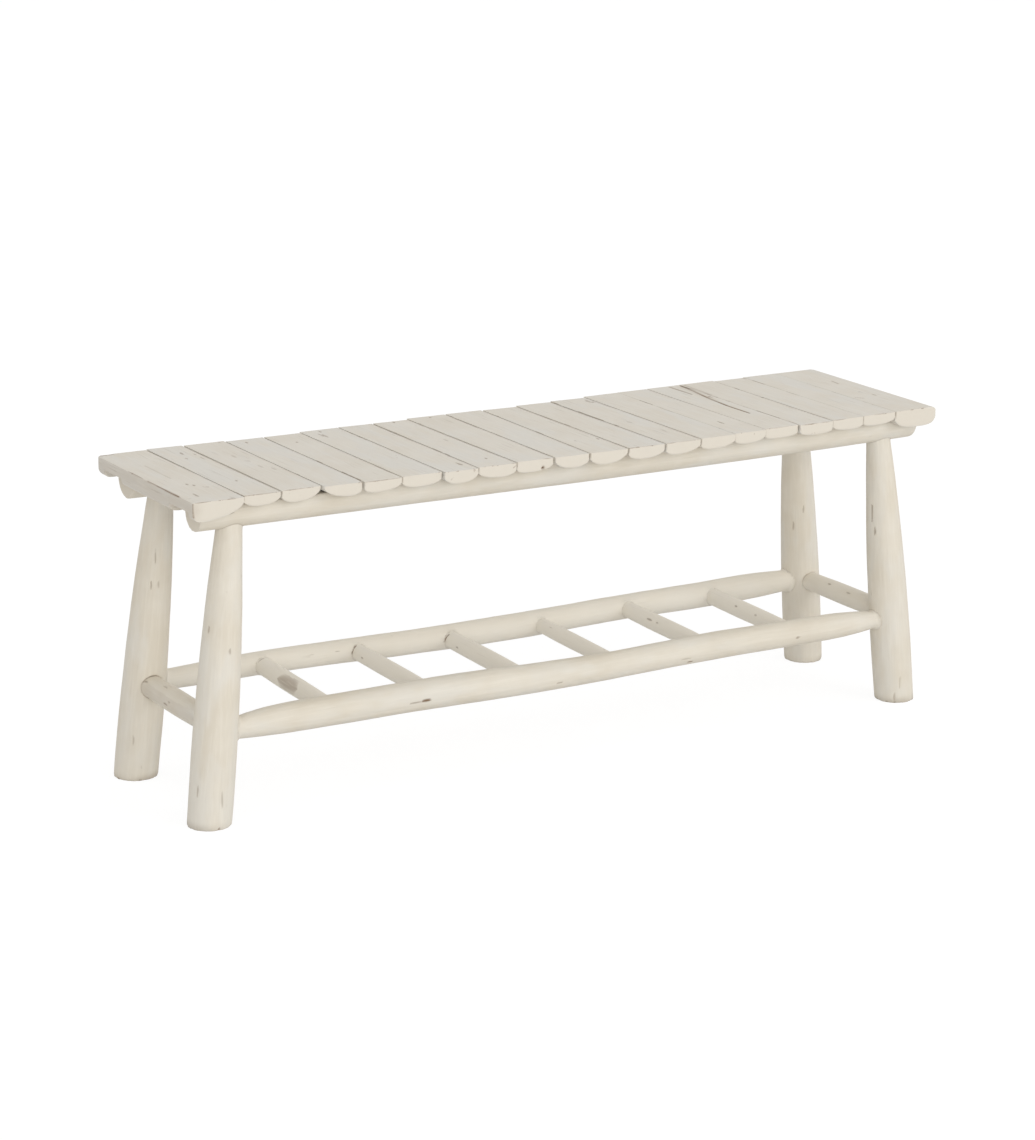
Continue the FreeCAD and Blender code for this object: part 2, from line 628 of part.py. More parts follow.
def add_leg(leg):
    """One leg with a bowed taper, a tenon at its top, a flat foot and sockets for two stretchers."""
    name = f"{leg.name}_leg"
    foot = f"Sizes.leg_foot_diameter * {LEG_GIRTH_SHARES[leg.name]} / 2"
    shoulder = f"Sizes.{name}_shoulder"
    tip = f"{shoulder} + Sizes.{name}_tenon_length"
    tenon = "Sizes.leg_tenon_diameter / 2"
    top = "Sizes.leg_top_diameter / 2"
    corners = [("0", "-Sizes.leg_foot_drop"), (foot, "-Sizes.leg_foot_drop"),
               (top, f"{shoulder} - Sizes.{name}_neck"), (top, shoulder),
               (tenon, shoulder), (tenon, tip), ("0", tip)]
    body = turned_body(name, corners, {1: "Sizes.leg_swell"})
    span = "2 * Sizes.leg_foot_diameter"
    floor_corner = leg.foot + Vector(-value(span) / 2, -value(span) / 2, -value(span))
    tools = [block(f"{name}_floor", span, span, span, floor_corner)]
    stretcher = front_stretcher if leg.front < 0 else back_stretcher
    end_girth = stretcher.girths[0] if leg.side < 0 else stretcher.girths[-1]
    seat = Vector(leg.side * stretcher.half_length, leg.front * stretcher.across, stretcher.height)
    tools += socket_tools(f"{name}_stretcher", seat, Vector(-leg.side, 0, 0),
                          f"Sizes.{stretcher.name}_diameter * {end_girth}", "Sizes.stretcher_tenon_diameter",
                          f"Sizes.{stretcher.name}_tenon_length", "Sizes.leg_foot_diameter")
    end_girth = END_STRETCHER_GIRTH_SHARES["left" if leg.side < 0 else "right"]
    seat = Vector(leg.side * end_along, leg.front * value("Sizes.end_stretcher_length") / 2, end_height)
    tools += socket_tools(f"{name}_end", seat, Vector(0, -leg.front, 0),
                          f"Sizes.end_stretcher_diameter * {end_girth}", "Sizes.end_stretcher_tenon_diameter",
                          "Sizes.end_stretcher_tenon_length", "Sizes.leg_foot_diameter")
    tools.append(fastener_tools(f"{name}_screw", "screw", screw_top(leg), -leg.upward)[0])
    add_node(name, body, tools, leg.placement)


for leg in legs:
    add_leg(leg)


# The rack of stretchers and rungs

def add_stretcher(stretcher):
    """One long stretcher: a wandering log with pared ends, tenons and a socket for every rung."""
    name = stretcher.name
    half, neck = f"Sizes.{name}_half_length", f"Sizes.{name}_neck"
    pared = f"({half} - Sizes.stretcher_pared_length)"
    neck_end = f"({half} - {neck})"
    rung_places = [f"Sizes.rung_pitch * {index - (rung_count - 1) / 2}" for index in range(rung_count)]
    places = [f"-{neck_end}", f"-{pared}"] + rung_places + [pared, neck_end]
    stations = [(place, f"Sizes.{name}_diameter * {girth}", f"Sizes.stretcher_bow * {lift}" if lift else "0")
                for place, girth, lift in zip(places, stretcher.girths, stretcher.lifts)]
    body = log_body(name, stations)
    for sign, girth in (("-", stretcher.girths[0]), ("", stretcher.girths[-1])):
        leftward = sign == "-"
        add_round_end(f"{name}_neck", body, f"{sign}{neck_end}", f"Sizes.{name}_diameter * {girth}",
                      neck, leftward)
        add_round_end(f"{name}_tenon", body, f"{sign}{half}", "Sizes.stretcher_tenon_diameter",
                      f"Sizes.{name}_tenon_length", leftward)
    tools = []
    for rung in rungs:
        floor = rung.front if stretcher.front < 0 else rung.back
        tools += socket_tools(f"{name}_{rung.name}", floor, rung.direction * -stretcher.front, rung.diameter,
                              "Sizes.rung_tenon_diameter", "Sizes.rung_tenon_length",
                              f"Sizes.{name}_diameter")
    middle = Vector(0, stretcher.front * stretcher.across, stretcher.height)
    add_node(name, body, tools, Placement(middle, Rotation()))


for stretcher in (front_stretcher, back_stretcher):
    add_stretcher(stretcher)

for side_name, side in (("left", -1), ("right", 1)):
    end_body = pole_body(f"{side_name}_end_stretcher",
                         "Sizes.end_stretcher_length", "Sizes.end_stretcher_neck",
                         f"Sizes.end_stretcher_diameter * {END_STRETCHER_GIRTH_SHARES[side_name]}",
                         "Sizes.end_stretcher_swell", "Sizes.end_stretcher_tenon_diameter",
                         "Sizes.end_stretcher_tenon_length")
    end_place = Placement(Vector(side * end_along, 0, end_height), Rotation(UP, Vector(0, 1, 0)))
    add_plain_node(f"{side_name}_end_stretcher", end_body, end_place)

for rung in rungs:
    rung_body = pole_body(rung.name, f"Sizes.{rung.name}_length", f"Sizes.{rung.name}_neck", rung.diameter,
                          "Sizes.rung_swell", "Sizes.rung_tenon_diameter", "Sizes.rung_tenon_length")
    rung_place = Placement((rung.front + rung.back) / 2, Rotation(UP, rung.direction))
    add_plain_node(rung.name, rung_body, rung_place)


# Fasteners

nail_places = [Placement(nail_top(index, front), Rotation())
               for front in (-1, 1) for index in range(len(SLAT_SHARES))]
add_group_node("slat_nails", fastener_body("slat_nail", "nail"), nail_places)
screw_places = [Placement(screw_top(leg), Rotation(UP, leg.upward)) for leg in legs]
add_group_node("leg_screws", fastener_body("leg_screw", "screw"), screw_places)


# Checks and files

LEAST_CUT_SHARE = 0.001


def uncut_share(piece):
    """Share of its cutters that a piece still fills: near nothing when every cut was made."""
    cutters = piece.Tool.Shape.copy()
    cutters.Placement = piece.Placement.multiply(cutters.Placement)
    return piece.Shape.common(cutters).Volume / cutters.Volume


doc.recompute()
for item in doc.Objects:
    if "Invalid" in item.State or "Error" in item.State:
        raise RuntimeError(f"{item.Label} failed: {item.State}")
for node in nodes:
    if node.Shape.isNull() or not node.Shape.isValid():
        raise RuntimeError(f"{node.Label} has no valid shape")
    if node.TypeId == "Part::Cut" and uncut_share(node) > LEAST_CUT_SHARE:
        raise RuntimeError(f"{node.Label} misses a cut")

os.makedirs("parts", exist_ok=True)
for node in nodes:
    node.Shape.exportStep(f"parts/{node.Label}.step")
    print(f"{node.Label}: {len(node.Shape.Solids)} solid(s), {node.Shape.Volume / 1000:.1f} cm3")
whole = Part.makeCompound([node.Shape for node in nodes]).optimalBoundingBox(True, False)
print(f"{len(nodes)} nodes, {whole.XLength:.1f} x {whole.YLength:.1f} x {whole.ZLength:.1f} mm")
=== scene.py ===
import logging
import math
from dataclasses import dataclass
from enum import Enum
from typing import Iterable, Optional, Sequence, Union

import bmesh
import bpy
import numpy as np
from bpy.types import Material, Mesh, Node, NodeSocket, NodeTree, Object, World
from mathutils import Matrix, Vector


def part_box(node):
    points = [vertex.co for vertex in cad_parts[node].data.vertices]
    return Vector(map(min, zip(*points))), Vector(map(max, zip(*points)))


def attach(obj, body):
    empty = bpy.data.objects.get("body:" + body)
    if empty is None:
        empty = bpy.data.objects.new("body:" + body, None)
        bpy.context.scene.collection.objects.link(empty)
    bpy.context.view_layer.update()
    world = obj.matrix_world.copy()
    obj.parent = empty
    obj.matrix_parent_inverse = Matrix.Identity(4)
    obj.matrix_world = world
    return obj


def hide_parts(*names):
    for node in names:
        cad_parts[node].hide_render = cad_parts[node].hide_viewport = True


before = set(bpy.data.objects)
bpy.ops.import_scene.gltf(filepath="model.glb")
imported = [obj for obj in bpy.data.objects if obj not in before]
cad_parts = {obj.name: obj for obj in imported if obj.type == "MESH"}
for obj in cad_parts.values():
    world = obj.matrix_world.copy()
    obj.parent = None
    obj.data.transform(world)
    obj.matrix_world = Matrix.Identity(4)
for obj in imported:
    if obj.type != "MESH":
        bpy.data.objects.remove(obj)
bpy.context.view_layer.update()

log = logging.getLogger("bench")
MM = 0.001
BODY = "root"
FASTENERS = ("slat_nails", "leg_screws")
WHITE = (1.0, 1.0, 1.0, 1.0)
Colour = tuple[float, float, float]
Point = tuple[float, float, float]
Pair = tuple[float, float]


# Node trees

@dataclass
class Field:
    """A value that flows through a node tree and takes Python's own arithmetic."""

    graph: "Graph"
    socket: NodeSocket

    def __add__(self, other: "Term") -> "Field":
        """The sum."""
        return self.graph.math("ADD", self, other)

    __radd__ = __add__

    def __sub__(self, other: "Term") -> "Field":
        """The difference."""
        return self.graph.math("SUBTRACT", self, other)

    def __rsub__(self, other: "Term") -> "Field":
        """The difference."""
        return self.graph.math("SUBTRACT", other, self)

    def __mul__(self, other: "Term") -> "Field":
        """The product."""
        return self.graph.math("MULTIPLY", self, other)

    __rmul__ = __mul__

    def __truediv__(self, other: "Term") -> "Field":
        """The quotient."""
        return self.graph.math("DIVIDE", self, other)


Term = Union[Field, float, int]


class Graph:
    """Adds nodes to one tree, of a shape, a material or the sky."""

    def __init__(self, tree: NodeTree) -> None:
        """Takes the tree that the nodes go into and empties it."""
        self.tree = tree
        tree.nodes.clear()

    def add(self, kind: str, inputs: Optional[dict] = None, **settings: object) -> Node:
        """Adds one node.

        Args:
            kind: the node's type name.
            inputs: fields or plain values by input name or number.
            settings: the node's own properties.

        Returns:
            The new node.
        """
        node = self.tree.nodes.new(kind)
        for name, value in settings.items():
            setattr(node, name, value)
        for key, value in (inputs or {}).items():
            if isinstance(value, Field):
                self.tree.links.new(value.socket, node.inputs[key])
            else:
                node.inputs[key].default_value = value
        return node

    def out(self, kind: str, output: Union[str, int] = 0, inputs: Optional[dict] = None,
            **settings: object) -> Field:
        """Adds one node and gives one of its outputs, by name or number."""
        return Field(self, self.add(kind, inputs, **settings).outputs[output])

    def math(self, operation: str, *terms: Term) -> Field:
        """A sum on numbers, such as ADD or MINIMUM."""
        return self.out("ShaderNodeMath", inputs=dict(enumerate(terms)), operation=operation)

    def vector(self, operation: str, *terms: object) -> Field:
        """A sum on vectors, such as ADD or NORMALIZE."""
        return self.out("ShaderNodeVectorMath", inputs=dict(enumerate(terms)), operation=operation)

    def dot(self, first: Field, second: Field) -> Field:
        """How far one vector reaches along another."""
        return self.out("ShaderNodeVectorMath", 1, {0: first, 1: second}, operation="DOT_PRODUCT")

    def scale(self, vector: Field, factor: Field) -> Field:
        """A vector made longer or shorter."""
        return self.out("ShaderNodeVectorMath", inputs={0: vector, "Scale": factor}, operation="SCALE")

    def combine(self, x: Term, y: Term, z: Term) -> Field:
        """A vector from three numbers."""
        return self.out("ShaderNodeCombineXYZ", inputs={0: x, 1: y, 2: z})

    def split(self, vector: Field) -> tuple[Field, ...]:
        """The three numbers of a vector."""
        node = self.add("ShaderNodeSeparateXYZ", {0: vector})
        return tuple(Field(self, socket) for socket in node.outputs)

    def clamp(self, value: Term, low: Term, high: Term) -> Field:
        """A number held between two others."""
        return self.math("MINIMUM", self.math("MAXIMUM", value, low), high)

    def ramp(self, value: Field, low: float, high: float, start: float = 0.0, end: float = 1.0) -> Field:
        """A smooth step from start to end as a value goes from low to high."""
        return self.out("ShaderNodeMapRange", "Result", {
            "Value": value, "From Min": low, "From Max": high, "To Min": start, "To Max": end},
            interpolation_type="SMOOTHSTEP")

    def noise(self, vector: Field, scale: float, detail: float, roughness: float = 0.5) -> Field:
        """Smooth noise from 0 to 1."""
        return self.out("ShaderNodeTexNoise", 0, {
            "Vector": vector, "Scale": scale, "Detail": detail, "Roughness": roughness})

    def blend(self, share: Term, first: Union[Field, Colour], second: Colour) -> Field:
        """One colour that passes into another."""
        start = first if isinstance(first, Field) else (*first, 1.0)
        return self.out("ShaderNodeMix", 2, {0: share, 6: start, 7: (*second, 1.0)}, data_type="RGBA")

    def attribute(self, name: str, output: str = "Fac") -> Field:
        """A value that a piece's mesh carries."""
        return self.out("ShaderNodeAttribute", output, attribute_name=name)

    def place(self) -> Field:
        """The place of each point of a shape."""
        return self.out("GeometryNodeInputPosition")


def empty_graph(owner: Union[Material, World]) -> Graph:
    """Starts the nodes of a material or a sky anew."""
    owner.use_nodes = True
    return Graph(owner.node_tree)


class Socket(Enum):
    """Kinds of input that a shape tree takes."""

    NUMBER = "NodeSocketFloat"
    COUNT = "NodeSocketInt"
    VECTOR = "NodeSocketVector"
    OBJECT = "NodeSocketObject"
    MATERIAL = "NodeSocketMaterial"
    GEOMETRY = "NodeSocketGeometry"


class ShapeTree:
    """A Geometry Nodes tree with named inputs whose result becomes a plain mesh."""

    def __init__(self, name: str, inputs: dict[str, Socket]) -> None:
        """Makes the empty tree.

        Args:
            name: the tree's name.
            inputs: the kind of each named input.
        """
        tree = bpy.data.node_groups.new(name, "GeometryNodeTree")
        kinds = {"Geometry": Socket.GEOMETRY, **inputs, "Material": Socket.MATERIAL}
        for label, kind in kinds.items():
            tree.interface.new_socket(name=label, in_out="INPUT", socket_type=kind.value)
        tree.interface.new_socket(name="Geometry", in_out="OUTPUT", socket_type=Socket.GEOMETRY.value)
        self.tree = tree
        self.graph = Graph(tree)
        entry = self.graph.add("NodeGroupInput")
        self.given = {label: Field(self.graph, entry.outputs[label]) for label in kinds}
        self.identifiers = {item.name: item.identifier for item in tree.interface.items_tree
                            if item.in_out == "INPUT"}

    def move(self, geometry: Field, **inputs: Field) -> Field:
        """Sets the Position of every point of a geometry, or shifts it by an Offset."""
        return self.graph.out("GeometryNodeSetPosition", inputs={"Geometry": geometry, **inputs})

    def store(self, geometry: Field, name: str, value: Field, kind: str = "FLOAT") -> Field:
        """Keeps a value on every point under a name that the materials read."""
        return self.graph.out("GeometryNodeStoreNamedAttribute", inputs={
            "Geometry": geometry, "Name": name, "Value": value}, data_type=kind, domain="POINT")

    def close(self, geometry: Field) -> None:
        """Ends the tree in real geometry with its material."""
        for kind in ("GeometryNodeRealizeInstances", "GeometryNodeSetShadeSmooth"):
            geometry = self.graph.out(kind, inputs={"Geometry": geometry})
        dressed = self.graph.out("GeometryNodeSetMaterial", inputs={
            "Geometry": geometry, "Material": self.given["Material"]})
        self.graph.add("NodeGroupOutput", {"Geometry": dressed})

    def run(self, piece: Object, values: dict[str, object]) -> None:
        """Runs the tree after an object's other modifiers and keeps the result as its mesh.

        Args:
            piece: the object whose mesh goes in and is replaced.
            values: the named inputs.
        """
        modifier = piece.modifiers.new(self.tree.name, "NODES")
        modifier.node_group = self.tree
        for label, value in values.items():
            modifier[self.identifiers[label]] = value
        evaluated = bpy.context.evaluated_depsgraph_get()
        mesh = bpy.data.meshes.new_from_object(piece.evaluated_get(evaluated), depsgraph=evaluated)
        piece.modifiers.clear()
        old = piece.data
        piece.data = mesh
        bpy.data.meshes.remove(old)
        mesh.name = piece.name


# Finishes

@dataclass(frozen=True)
class CreamPaint:
    """Matt cream paint over wood, brushed along the grain and rubbed through at the arrises."""

    slot: str
    colour: Colour
    warm: Colour
    cool: Colour
    pale: Colour
    sawn: Colour
    # Bare wood, also the colour of painted shade along some gaps and on slat 1's left side
    bare_and_shade: Colour = (0.20, 0.125, 0.07)
    # Dirt, also the colour of painted shade in the joints
    dirt_and_shade: Colour = (0.22, 0.165, 0.11)
    rubbed: float = 0.8
    flecked: float = 0.55
    open_grain: float = 0.30
    streaks: float = 0.45
    sawn_share: float = 0.9
    # Dirt and painted shade near the joints, darker paint near the floor, and more of both on sawn ends
    soil_and_shade: float = 0.50
    soil_and_shade_reach: float = 2.2 * MM
    end_soil_and_shade: float = 0.40
    end_reach: float = 1.2 * MM
    roughness: float = 0.62
    specular: float = 0.35
    bump: float = 0.35
    bump_height: float = 0.6 * MM

    # Noises in the grain: how far each is drawn out along it, and its scale, detail and roughness
    NOISES = ((1.0, 16.0, 3.0, 0.5), (0.35, 21.0, 3.0, 0.6), (0.07, 230.0, 4.0, 0.6),
              (0.02, 520.0, 3.0, 0.65), (1.0, 24.0, 2.0, 0.5), (0.30, 48.0, 4.0, 0.65),
              (0.30, 95.0, 2.0, 0.5), (1.0, 9.0, 1.0, 0.5))

    def material(self) -> Material:
        """Builds the paint from the values that each piece's mesh carries.

        Returns:
            The finished material.
        """
        made = bpy.data.materials.new(self.slot)
        g = empty_graph(made)
        grain = g.attribute("grain", "Vector")
        rim, contact, mark, sawn_end, fresh = (
            g.attribute(name) for name in ("rim", "contact", "mark", "sawn_end", "fresh"))
        cloud, patch, brush, pores, tufts, rub, specks, sparse = (
            g.noise(g.vector("MULTIPLY", grain, (1.0, 1.0, drawn)), *form) for drawn, *form in self.NOISES)
        fibre = g.ramp(pores, 0.57, 0.70) * g.ramp(tufts, 0.42, 0.64)

        # Paint rubbed off the arrises, and sparse flecks elsewhere
        worn = rim * g.ramp(rub, 0.57, 0.63) * self.rubbed
        flecks = g.ramp(specks, 0.68, 0.75) * g.ramp(sparse, 0.52, 0.68)
        worn = g.math("MAXIMUM", worn, flecks * self.flecked)

        # Dirt and painted shade in the joints, darker paint near the floor, more of it on sawn ends, and the
        # marks of use
        patchy = g.math("MAXIMUM", g.ramp(cloud, 0.35, 0.62, 0.2, 1.0), sawn_end)
        near_joint = g.ramp(contact - sawn_end * self.end_reach, 0.0, self.soil_and_shade_reach, 1.0, 0.0)
        soiled_and_shaded = near_joint * patchy * (self.soil_and_shade + sawn_end * self.end_soil_and_shade)
        # Marks of use, with painted shade along some gaps and on slat 1's left side
        scuffed_and_shaded = g.clamp(mark * g.ramp(brush, 0.32, 0.56, 0.75, 1.3), 0.0, 1.0)

        # Layers over the first coat; painted light lifts the shaded poles towards the pale colour
        paint = g.blend(g.ramp(cloud, 0.30, 0.70), self.colour, self.warm)
        layers = (
            (g.ramp(patch, 0.44, 0.68), self.cool), (fresh, self.pale),
            (g.ramp(brush, 0.42, 0.72) * self.streaks, self.pale), (fibre * self.open_grain, self.dirt_and_shade),
            (sawn_end * self.sawn_share, self.sawn), (worn, self.bare_and_shade), (soiled_and_shaded, self.dirt_and_shade),
            (scuffed_and_shaded, self.bare_and_shade))
        for share, colour in layers:
            paint = g.blend(share, paint, colour)

        relief = (brush * 0.5 + pores * 0.35) * (1.0 - sawn_end) - worn * 0.8
        bump = g.out("ShaderNodeBump", inputs={
            "Strength": self.bump, "Distance": self.bump_height, "Height": relief})
        roughness = g.ramp(brush, 0.2, 0.8, self.roughness - 0.06, self.roughness + 0.10)
        shader = g.out("ShaderNodeBsdfPrincipled", inputs={
            "Base Color": paint, "Roughness": roughness, "Normal": bump, "Specular IOR Level": self.specular})
        g.add("ShaderNodeOutputMaterial", {"Surface": shader})
        return made


@dataclass(frozen=True)
class DullSteel:
    """Plain steel of a nail or a screw, dulled by damp."""

    slot: str
    colour: Colour
    rust: Colour = (0.22, 0.13, 0.08)
    rusted: float = 0.6
    metallic: float = 0.9
    smooth: float = 0.42
    rough: float = 0.75

    def material(self) -> Material:
        """Builds the steel with spots of rust.

        Returns:
            The finished material.
        """
        made = bpy.data.materials.new(self.slot)
        g = empty_graph(made)
        spots = g.ramp(g.noise(g.out("ShaderNodeTexCoord", "Object"), 700.0, 3.0), 0.52, 0.70)
        tint = g.blend(spots * self.rusted, self.colour, self.rust)
        roughness = g.ramp(spots, 0.0, 1.0, self.smooth, self.rough)
        shader = g.out("ShaderNodeBsdfPrincipled", inputs={
            "Base Color": tint, "Roughness": roughness, "Metallic": self.metallic})
        g.add("ShaderNodeOutputMaterial", {"Surface": shader})
        return made


SLAT_PAINT = CreamPaint(
    "painted_slat", colour=(0.71, 0.67, 0.6), warm=(0.685, 0.637, 0.557), cool=(0.693, 0.667, 0.615),
    pale=(0.76, 0.732, 0.675), sawn=(0.68, 0.63, 0.546))
POLE_PAINT = CreamPaint(
    "painted_pole", colour=(0.718, 0.67, 0.582), warm=(0.675, 0.618, 0.518), cool=(0.708, 0.673, 0.602),
    pale=(0.835, 0.792, 0.706), sawn=(0.69, 0.632, 0.536), open_grain=0.08, streaks=0.22, soil_and_shade=0.34)
NAIL_STEEL = DullSteel("nail_steel", (0.62, 0.60, 0.56))
SCREW_STEEL = DullSteel("screw_steel", (0.60, 0.58, 0.52))


# Marks of use and painted shade, pressed into a finished mesh

@dataclass(frozen=True)
class Mark:
    """A dent, knot, drying crack or stretch of painted shade from start to end, in millimetres in the bench's
    frame.
    """

    start: Point
    end: Point
    half_width: float
    depth: float
    tone: float
    taper: float = 0.0

    REACH = 5.0
    LEAST_SLIM = 0.001

    def weigh(self, points: np.ndarray, normals: np.ndarray) -> np.ndarray:
        """How strongly the mark reaches each point, measured along the surface.

        Args:
            points: places in metres, one row each.
            normals: the surface's direction at each point.

        Returns:
            A weight from 0 to 1 for each point.
        """
        start, end = np.array(self.start) * MM, np.array(self.end) * MM
        run = end - start
        share = ((points - start) @ run / max(run @ run, 1e-12)).clip(0.0, 1.0)
        apart = points - start - share[:, None] * run
        height = (apart * normals).sum(axis=1)
        beside = np.linalg.norm(apart - height[:, None] * normals, axis=1)
        slim = np.maximum(1.0 - self.taper * (2.0 * share - 1.0) ** 2, self.LEAST_SLIM)
        near = (1.0 - beside / (self.half_width * MM * slim)).clip(0.0, 1.0)
        return np.where(np.abs(height) < self.REACH * MM, near * near * (3.0 - 2.0 * near), 0.0)


class Along(Enum):
    """The way a mark runs with the grain of its piece."""

    LENGTH = (1.0, 0.0, 0.0)
    DEPTH = (0.0, 1.0, 0.0)
    HEIGHT = (0.0, 0.0, 1.0)


# How far a check reaches each way from its middle, as a share of its length
CHECK_REACH = 0.65


def check(along: Along, place: Point, length: float, half_width: float, tone: float,
          depth: float = 0.7) -> Mark:
    """A short drying check or scar round a place, which runs with the grain."""
    middle, reach = Vector(place), Vector(along.value) * length * CHECK_REACH
    return Mark(tuple(middle - reach), tuple(middle + reach), half_width, depth, tone, taper=1.0)


def marks_on(node: str, marks: Iterable[Mark], margin: float = 4.0) -> list[Mark]:
    """The marks that start in a solid's box, or within a margin in millimetres round it."""
    low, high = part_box(node)
    return [mark for mark in marks
            if all(low[i] - margin * MM < mark.start[i] * MM < high[i] + margin * MM for i in range(3))]


def mesh_vectors(mesh: Mesh, kind: str = "co") -> np.ndarray:
    """The places of a mesh's points, or their normals.

    Args:
        mesh: the mesh to read.
        kind: co or normal.

    Returns:
        One row for each point.
    """
    flat = np.empty(len(mesh.vertices) * 3, np.float32)
    mesh.vertices.foreach_get(kind, flat)
    return flat.reshape(-1, 3).astype(float)


def press_marks(mesh: Mesh, marks: Sequence[Mark]) -> None:
    """Sinks the marks into a mesh and keeps their tone for the paint.

    Args:
        mesh: the finished mesh.
        marks: the marks that lie on it.
    """
    points, normals = mesh_vectors(mesh), mesh_vectors(mesh, "normal")
    tone, sunk = np.zeros((2, len(points)))
    for mark in marks:
        weight = mark.weigh(points, normals)
        tone = np.maximum(tone, weight * mark.tone)
        sunk = np.maximum(sunk, weight * mark.depth * MM)
    moved = (points - normals * sunk[:, None]).astype(np.float32)
    mesh.vertices.foreach_set("co", moved.ravel())
    layer = mesh.attributes.new("mark", "FLOAT", "POINT")
    layer.data.foreach_set("value", tone.astype(np.float32))
    mesh.update()


# Pieces

def put_in_scene(name: str, data: object) -> Object:
    """Puts a mesh, a lamp or a camera into the scene.

    Args:
        name: the object's name.
        data: what it carries.

    Returns:
        The object, at the origin.
    """
    placed = bpy.data.objects.new(name, data)
    bpy.context.scene.collection.objects.link(placed)
    return placed


class Workshop:
    """Holds the materials and the shape trees."""

    CREASE = math.radians(42.0)
    NEAR = 20.0 * MM

    def __init__(self) -> None:
        """Makes the paints, the steels and the shape trees."""
        finishes = (SLAT_PAINT, POLE_PAINT, NAIL_STEEL, SCREW_STEEL)
        self.materials = {finish.slot: finish.material() for finish in finishes}
        self.slat_tree = half_round_slat_tree()
        self.pole_tree = peeled_pole_tree()

    def neighbours(self, node: str) -> Object:
        """Joins the wooden solids near one into a helper that contact is measured to.

        Args:
            node: the solid to leave out.

        Returns:
            The helper, to be removed after use.
        """
        low, high = (np.array(corner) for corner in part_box(node))
        joined = bmesh.new()
        for name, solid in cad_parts.items():
            if name == node or name in FASTENERS:
                continue
            other_low, other_high = (np.array(corner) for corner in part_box(name))
            if (other_low < high + self.NEAR).all() and (low - self.NEAR < other_high).all():
                joined.from_mesh(solid.data)
        mesh = bpy.data.meshes.new("neighbours")
        joined.to_mesh(mesh)
        joined.free()
        helper = put_in_scene("neighbours", mesh)
        helper.hide_render = True
        return helper

    def shape(self, piece: Object, node: str, tree: ShapeTree, values: dict[str, object],
              marks: Sequence[Mark], slot: str) -> None:
        """Runs a shape tree on a piece, presses its marks, hangs it on the bench's body and hides its solid.

        Args:
            piece: the blank.
            node: the solid that it stands for.
            tree: the shape tree.
            values: the tree's other inputs.
            marks: the marks on this piece.
            slot: the record's material slot.
        """
        helper = self.neighbours(node)
        tree.run(piece, {**values, "Neighbours": helper, "Material": self.materials[slot]})
        leftover = helper.data
        bpy.data.objects.remove(helper)
        bpy.data.meshes.remove(leftover)
        press_marks(piece.data, marks)
        piece.data.set_sharp_from_angle(angle=self.CREASE)
        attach(piece, BODY)
        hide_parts(node)
        log.info("%s: %d faces", piece.name, len(piece.data.polygons))


WAYS = ("Across", "Up", "Along")
GRAIN_INPUTS = {**dict.fromkeys(WAYS, Socket.VECTOR),
                "Seed": Socket.NUMBER, "Neighbours": Socket.OBJECT}
# How far each seed shifts a piece in its grain, in metres
SEED_SHIFT = 0.37
# How squarely a surface faces along the grain to count as sawn
SAWN = (0.60, 0.85)
# Height above the floor counts as this share of a distance to a joint, so the paint darkens near the floor
FLOOR_DARKENING = 0.16


def in_grain(tree: ShapeTree) -> list[Field]:
    """Each point's place across, up and along the grain."""
    place = tree.graph.place()
    return [tree.graph.dot(place, tree.given[way]) for way in WAYS]


def end_on(tree: ShapeTree) -> Field:
    """How squarely each point's surface faces along the grain, from 0 to 1."""
    normal = tree.graph.out("GeometryNodeInputNormal")
    return tree.graph.math("ABSOLUTE", tree.graph.dot(normal, tree.given["Along"]))


def to_neighbours(tree: ShapeTree) -> Field:
    """How far each point lies from the pieces around."""
    target = tree.graph.out("GeometryNodeObjectInfo", "Geometry", {"Object": tree.given["Neighbours"]},
                            transform_space="ORIGINAL")
    return tree.graph.out("GeometryNodeProximity", "Distance", {0: target}, target_element="FACES")


def round_off(g: Graph, radius: Field, away: Field) -> Field:
    """How far a rounding of some radius stands back at a distance from where it begins."""
    short = g.math("MAXIMUM", radius - away, 0.0)
    return radius - g.math("SQRT", radius * radius - short * short)


def grow_grain(tree: ShapeTree, geometry: Field) -> Field:
    """Stores each point's place in the grain, whether it is sawn across, and its contact.

    Args:
        tree: the tree of a slat or a pole.
        geometry: the shaped geometry.

    Returns:
        The geometry with these values.
    """
    g = tree.graph
    shift = tree.given["Seed"] * SEED_SHIFT
    across, up, along = in_grain(tree)
    grain = g.combine(across + shift, up, along + shift)
    geometry = tree.store(geometry, "grain", grain, "FLOAT_VECTOR")
    geometry = tree.store(geometry, "sawn_end", g.ramp(end_on(tree), *SAWN))
    # Distance to the pieces around, where the paint takes dirt and painted shade, and to the floor, where it
    # darkens
    off_floor = g.split(g.place())[2] * FLOOR_DARKENING
    return tree.store(geometry, "contact", g.math("MINIMUM", to_neighbours(tree), off_floor))


SLAT_SIZES = ("Front", "Back", "Left Front", "Left Back", "Right Front", "Right Back", "Top", "Thickness",
              "Left Edge", "Right Edge", "Belly", "Bed", "Rail Offset", "Notch", "Arris", "Nose",
              "Left Round", "Right Round", "Left Corner", "Right Corner", "Tilt", "Hewn")
SLAT_ROWS = ("Rows Across", "Rows Along", "Rows Down")
# How far a slat's rows crowd towards its edges, on the flat and down
CROWD_FLAT = 0.55
CROWD_DOWN = 0.5
# Where a slat's worn rim fades, off its arris and on the way down
RIM_OFF = (0.3 * MM, 1.7 * MM)
RIM_DOWN = (0.3, 0.7)
# How flat a slat's belly is, and the share of a corner's radius at the front
BELLY_POWER = 2.8
FRONT_CORNER = 0.3
# How far each seed shifts a slat's hewing
HEWN_DRIFT = (1.7, 0.9, 2.3)


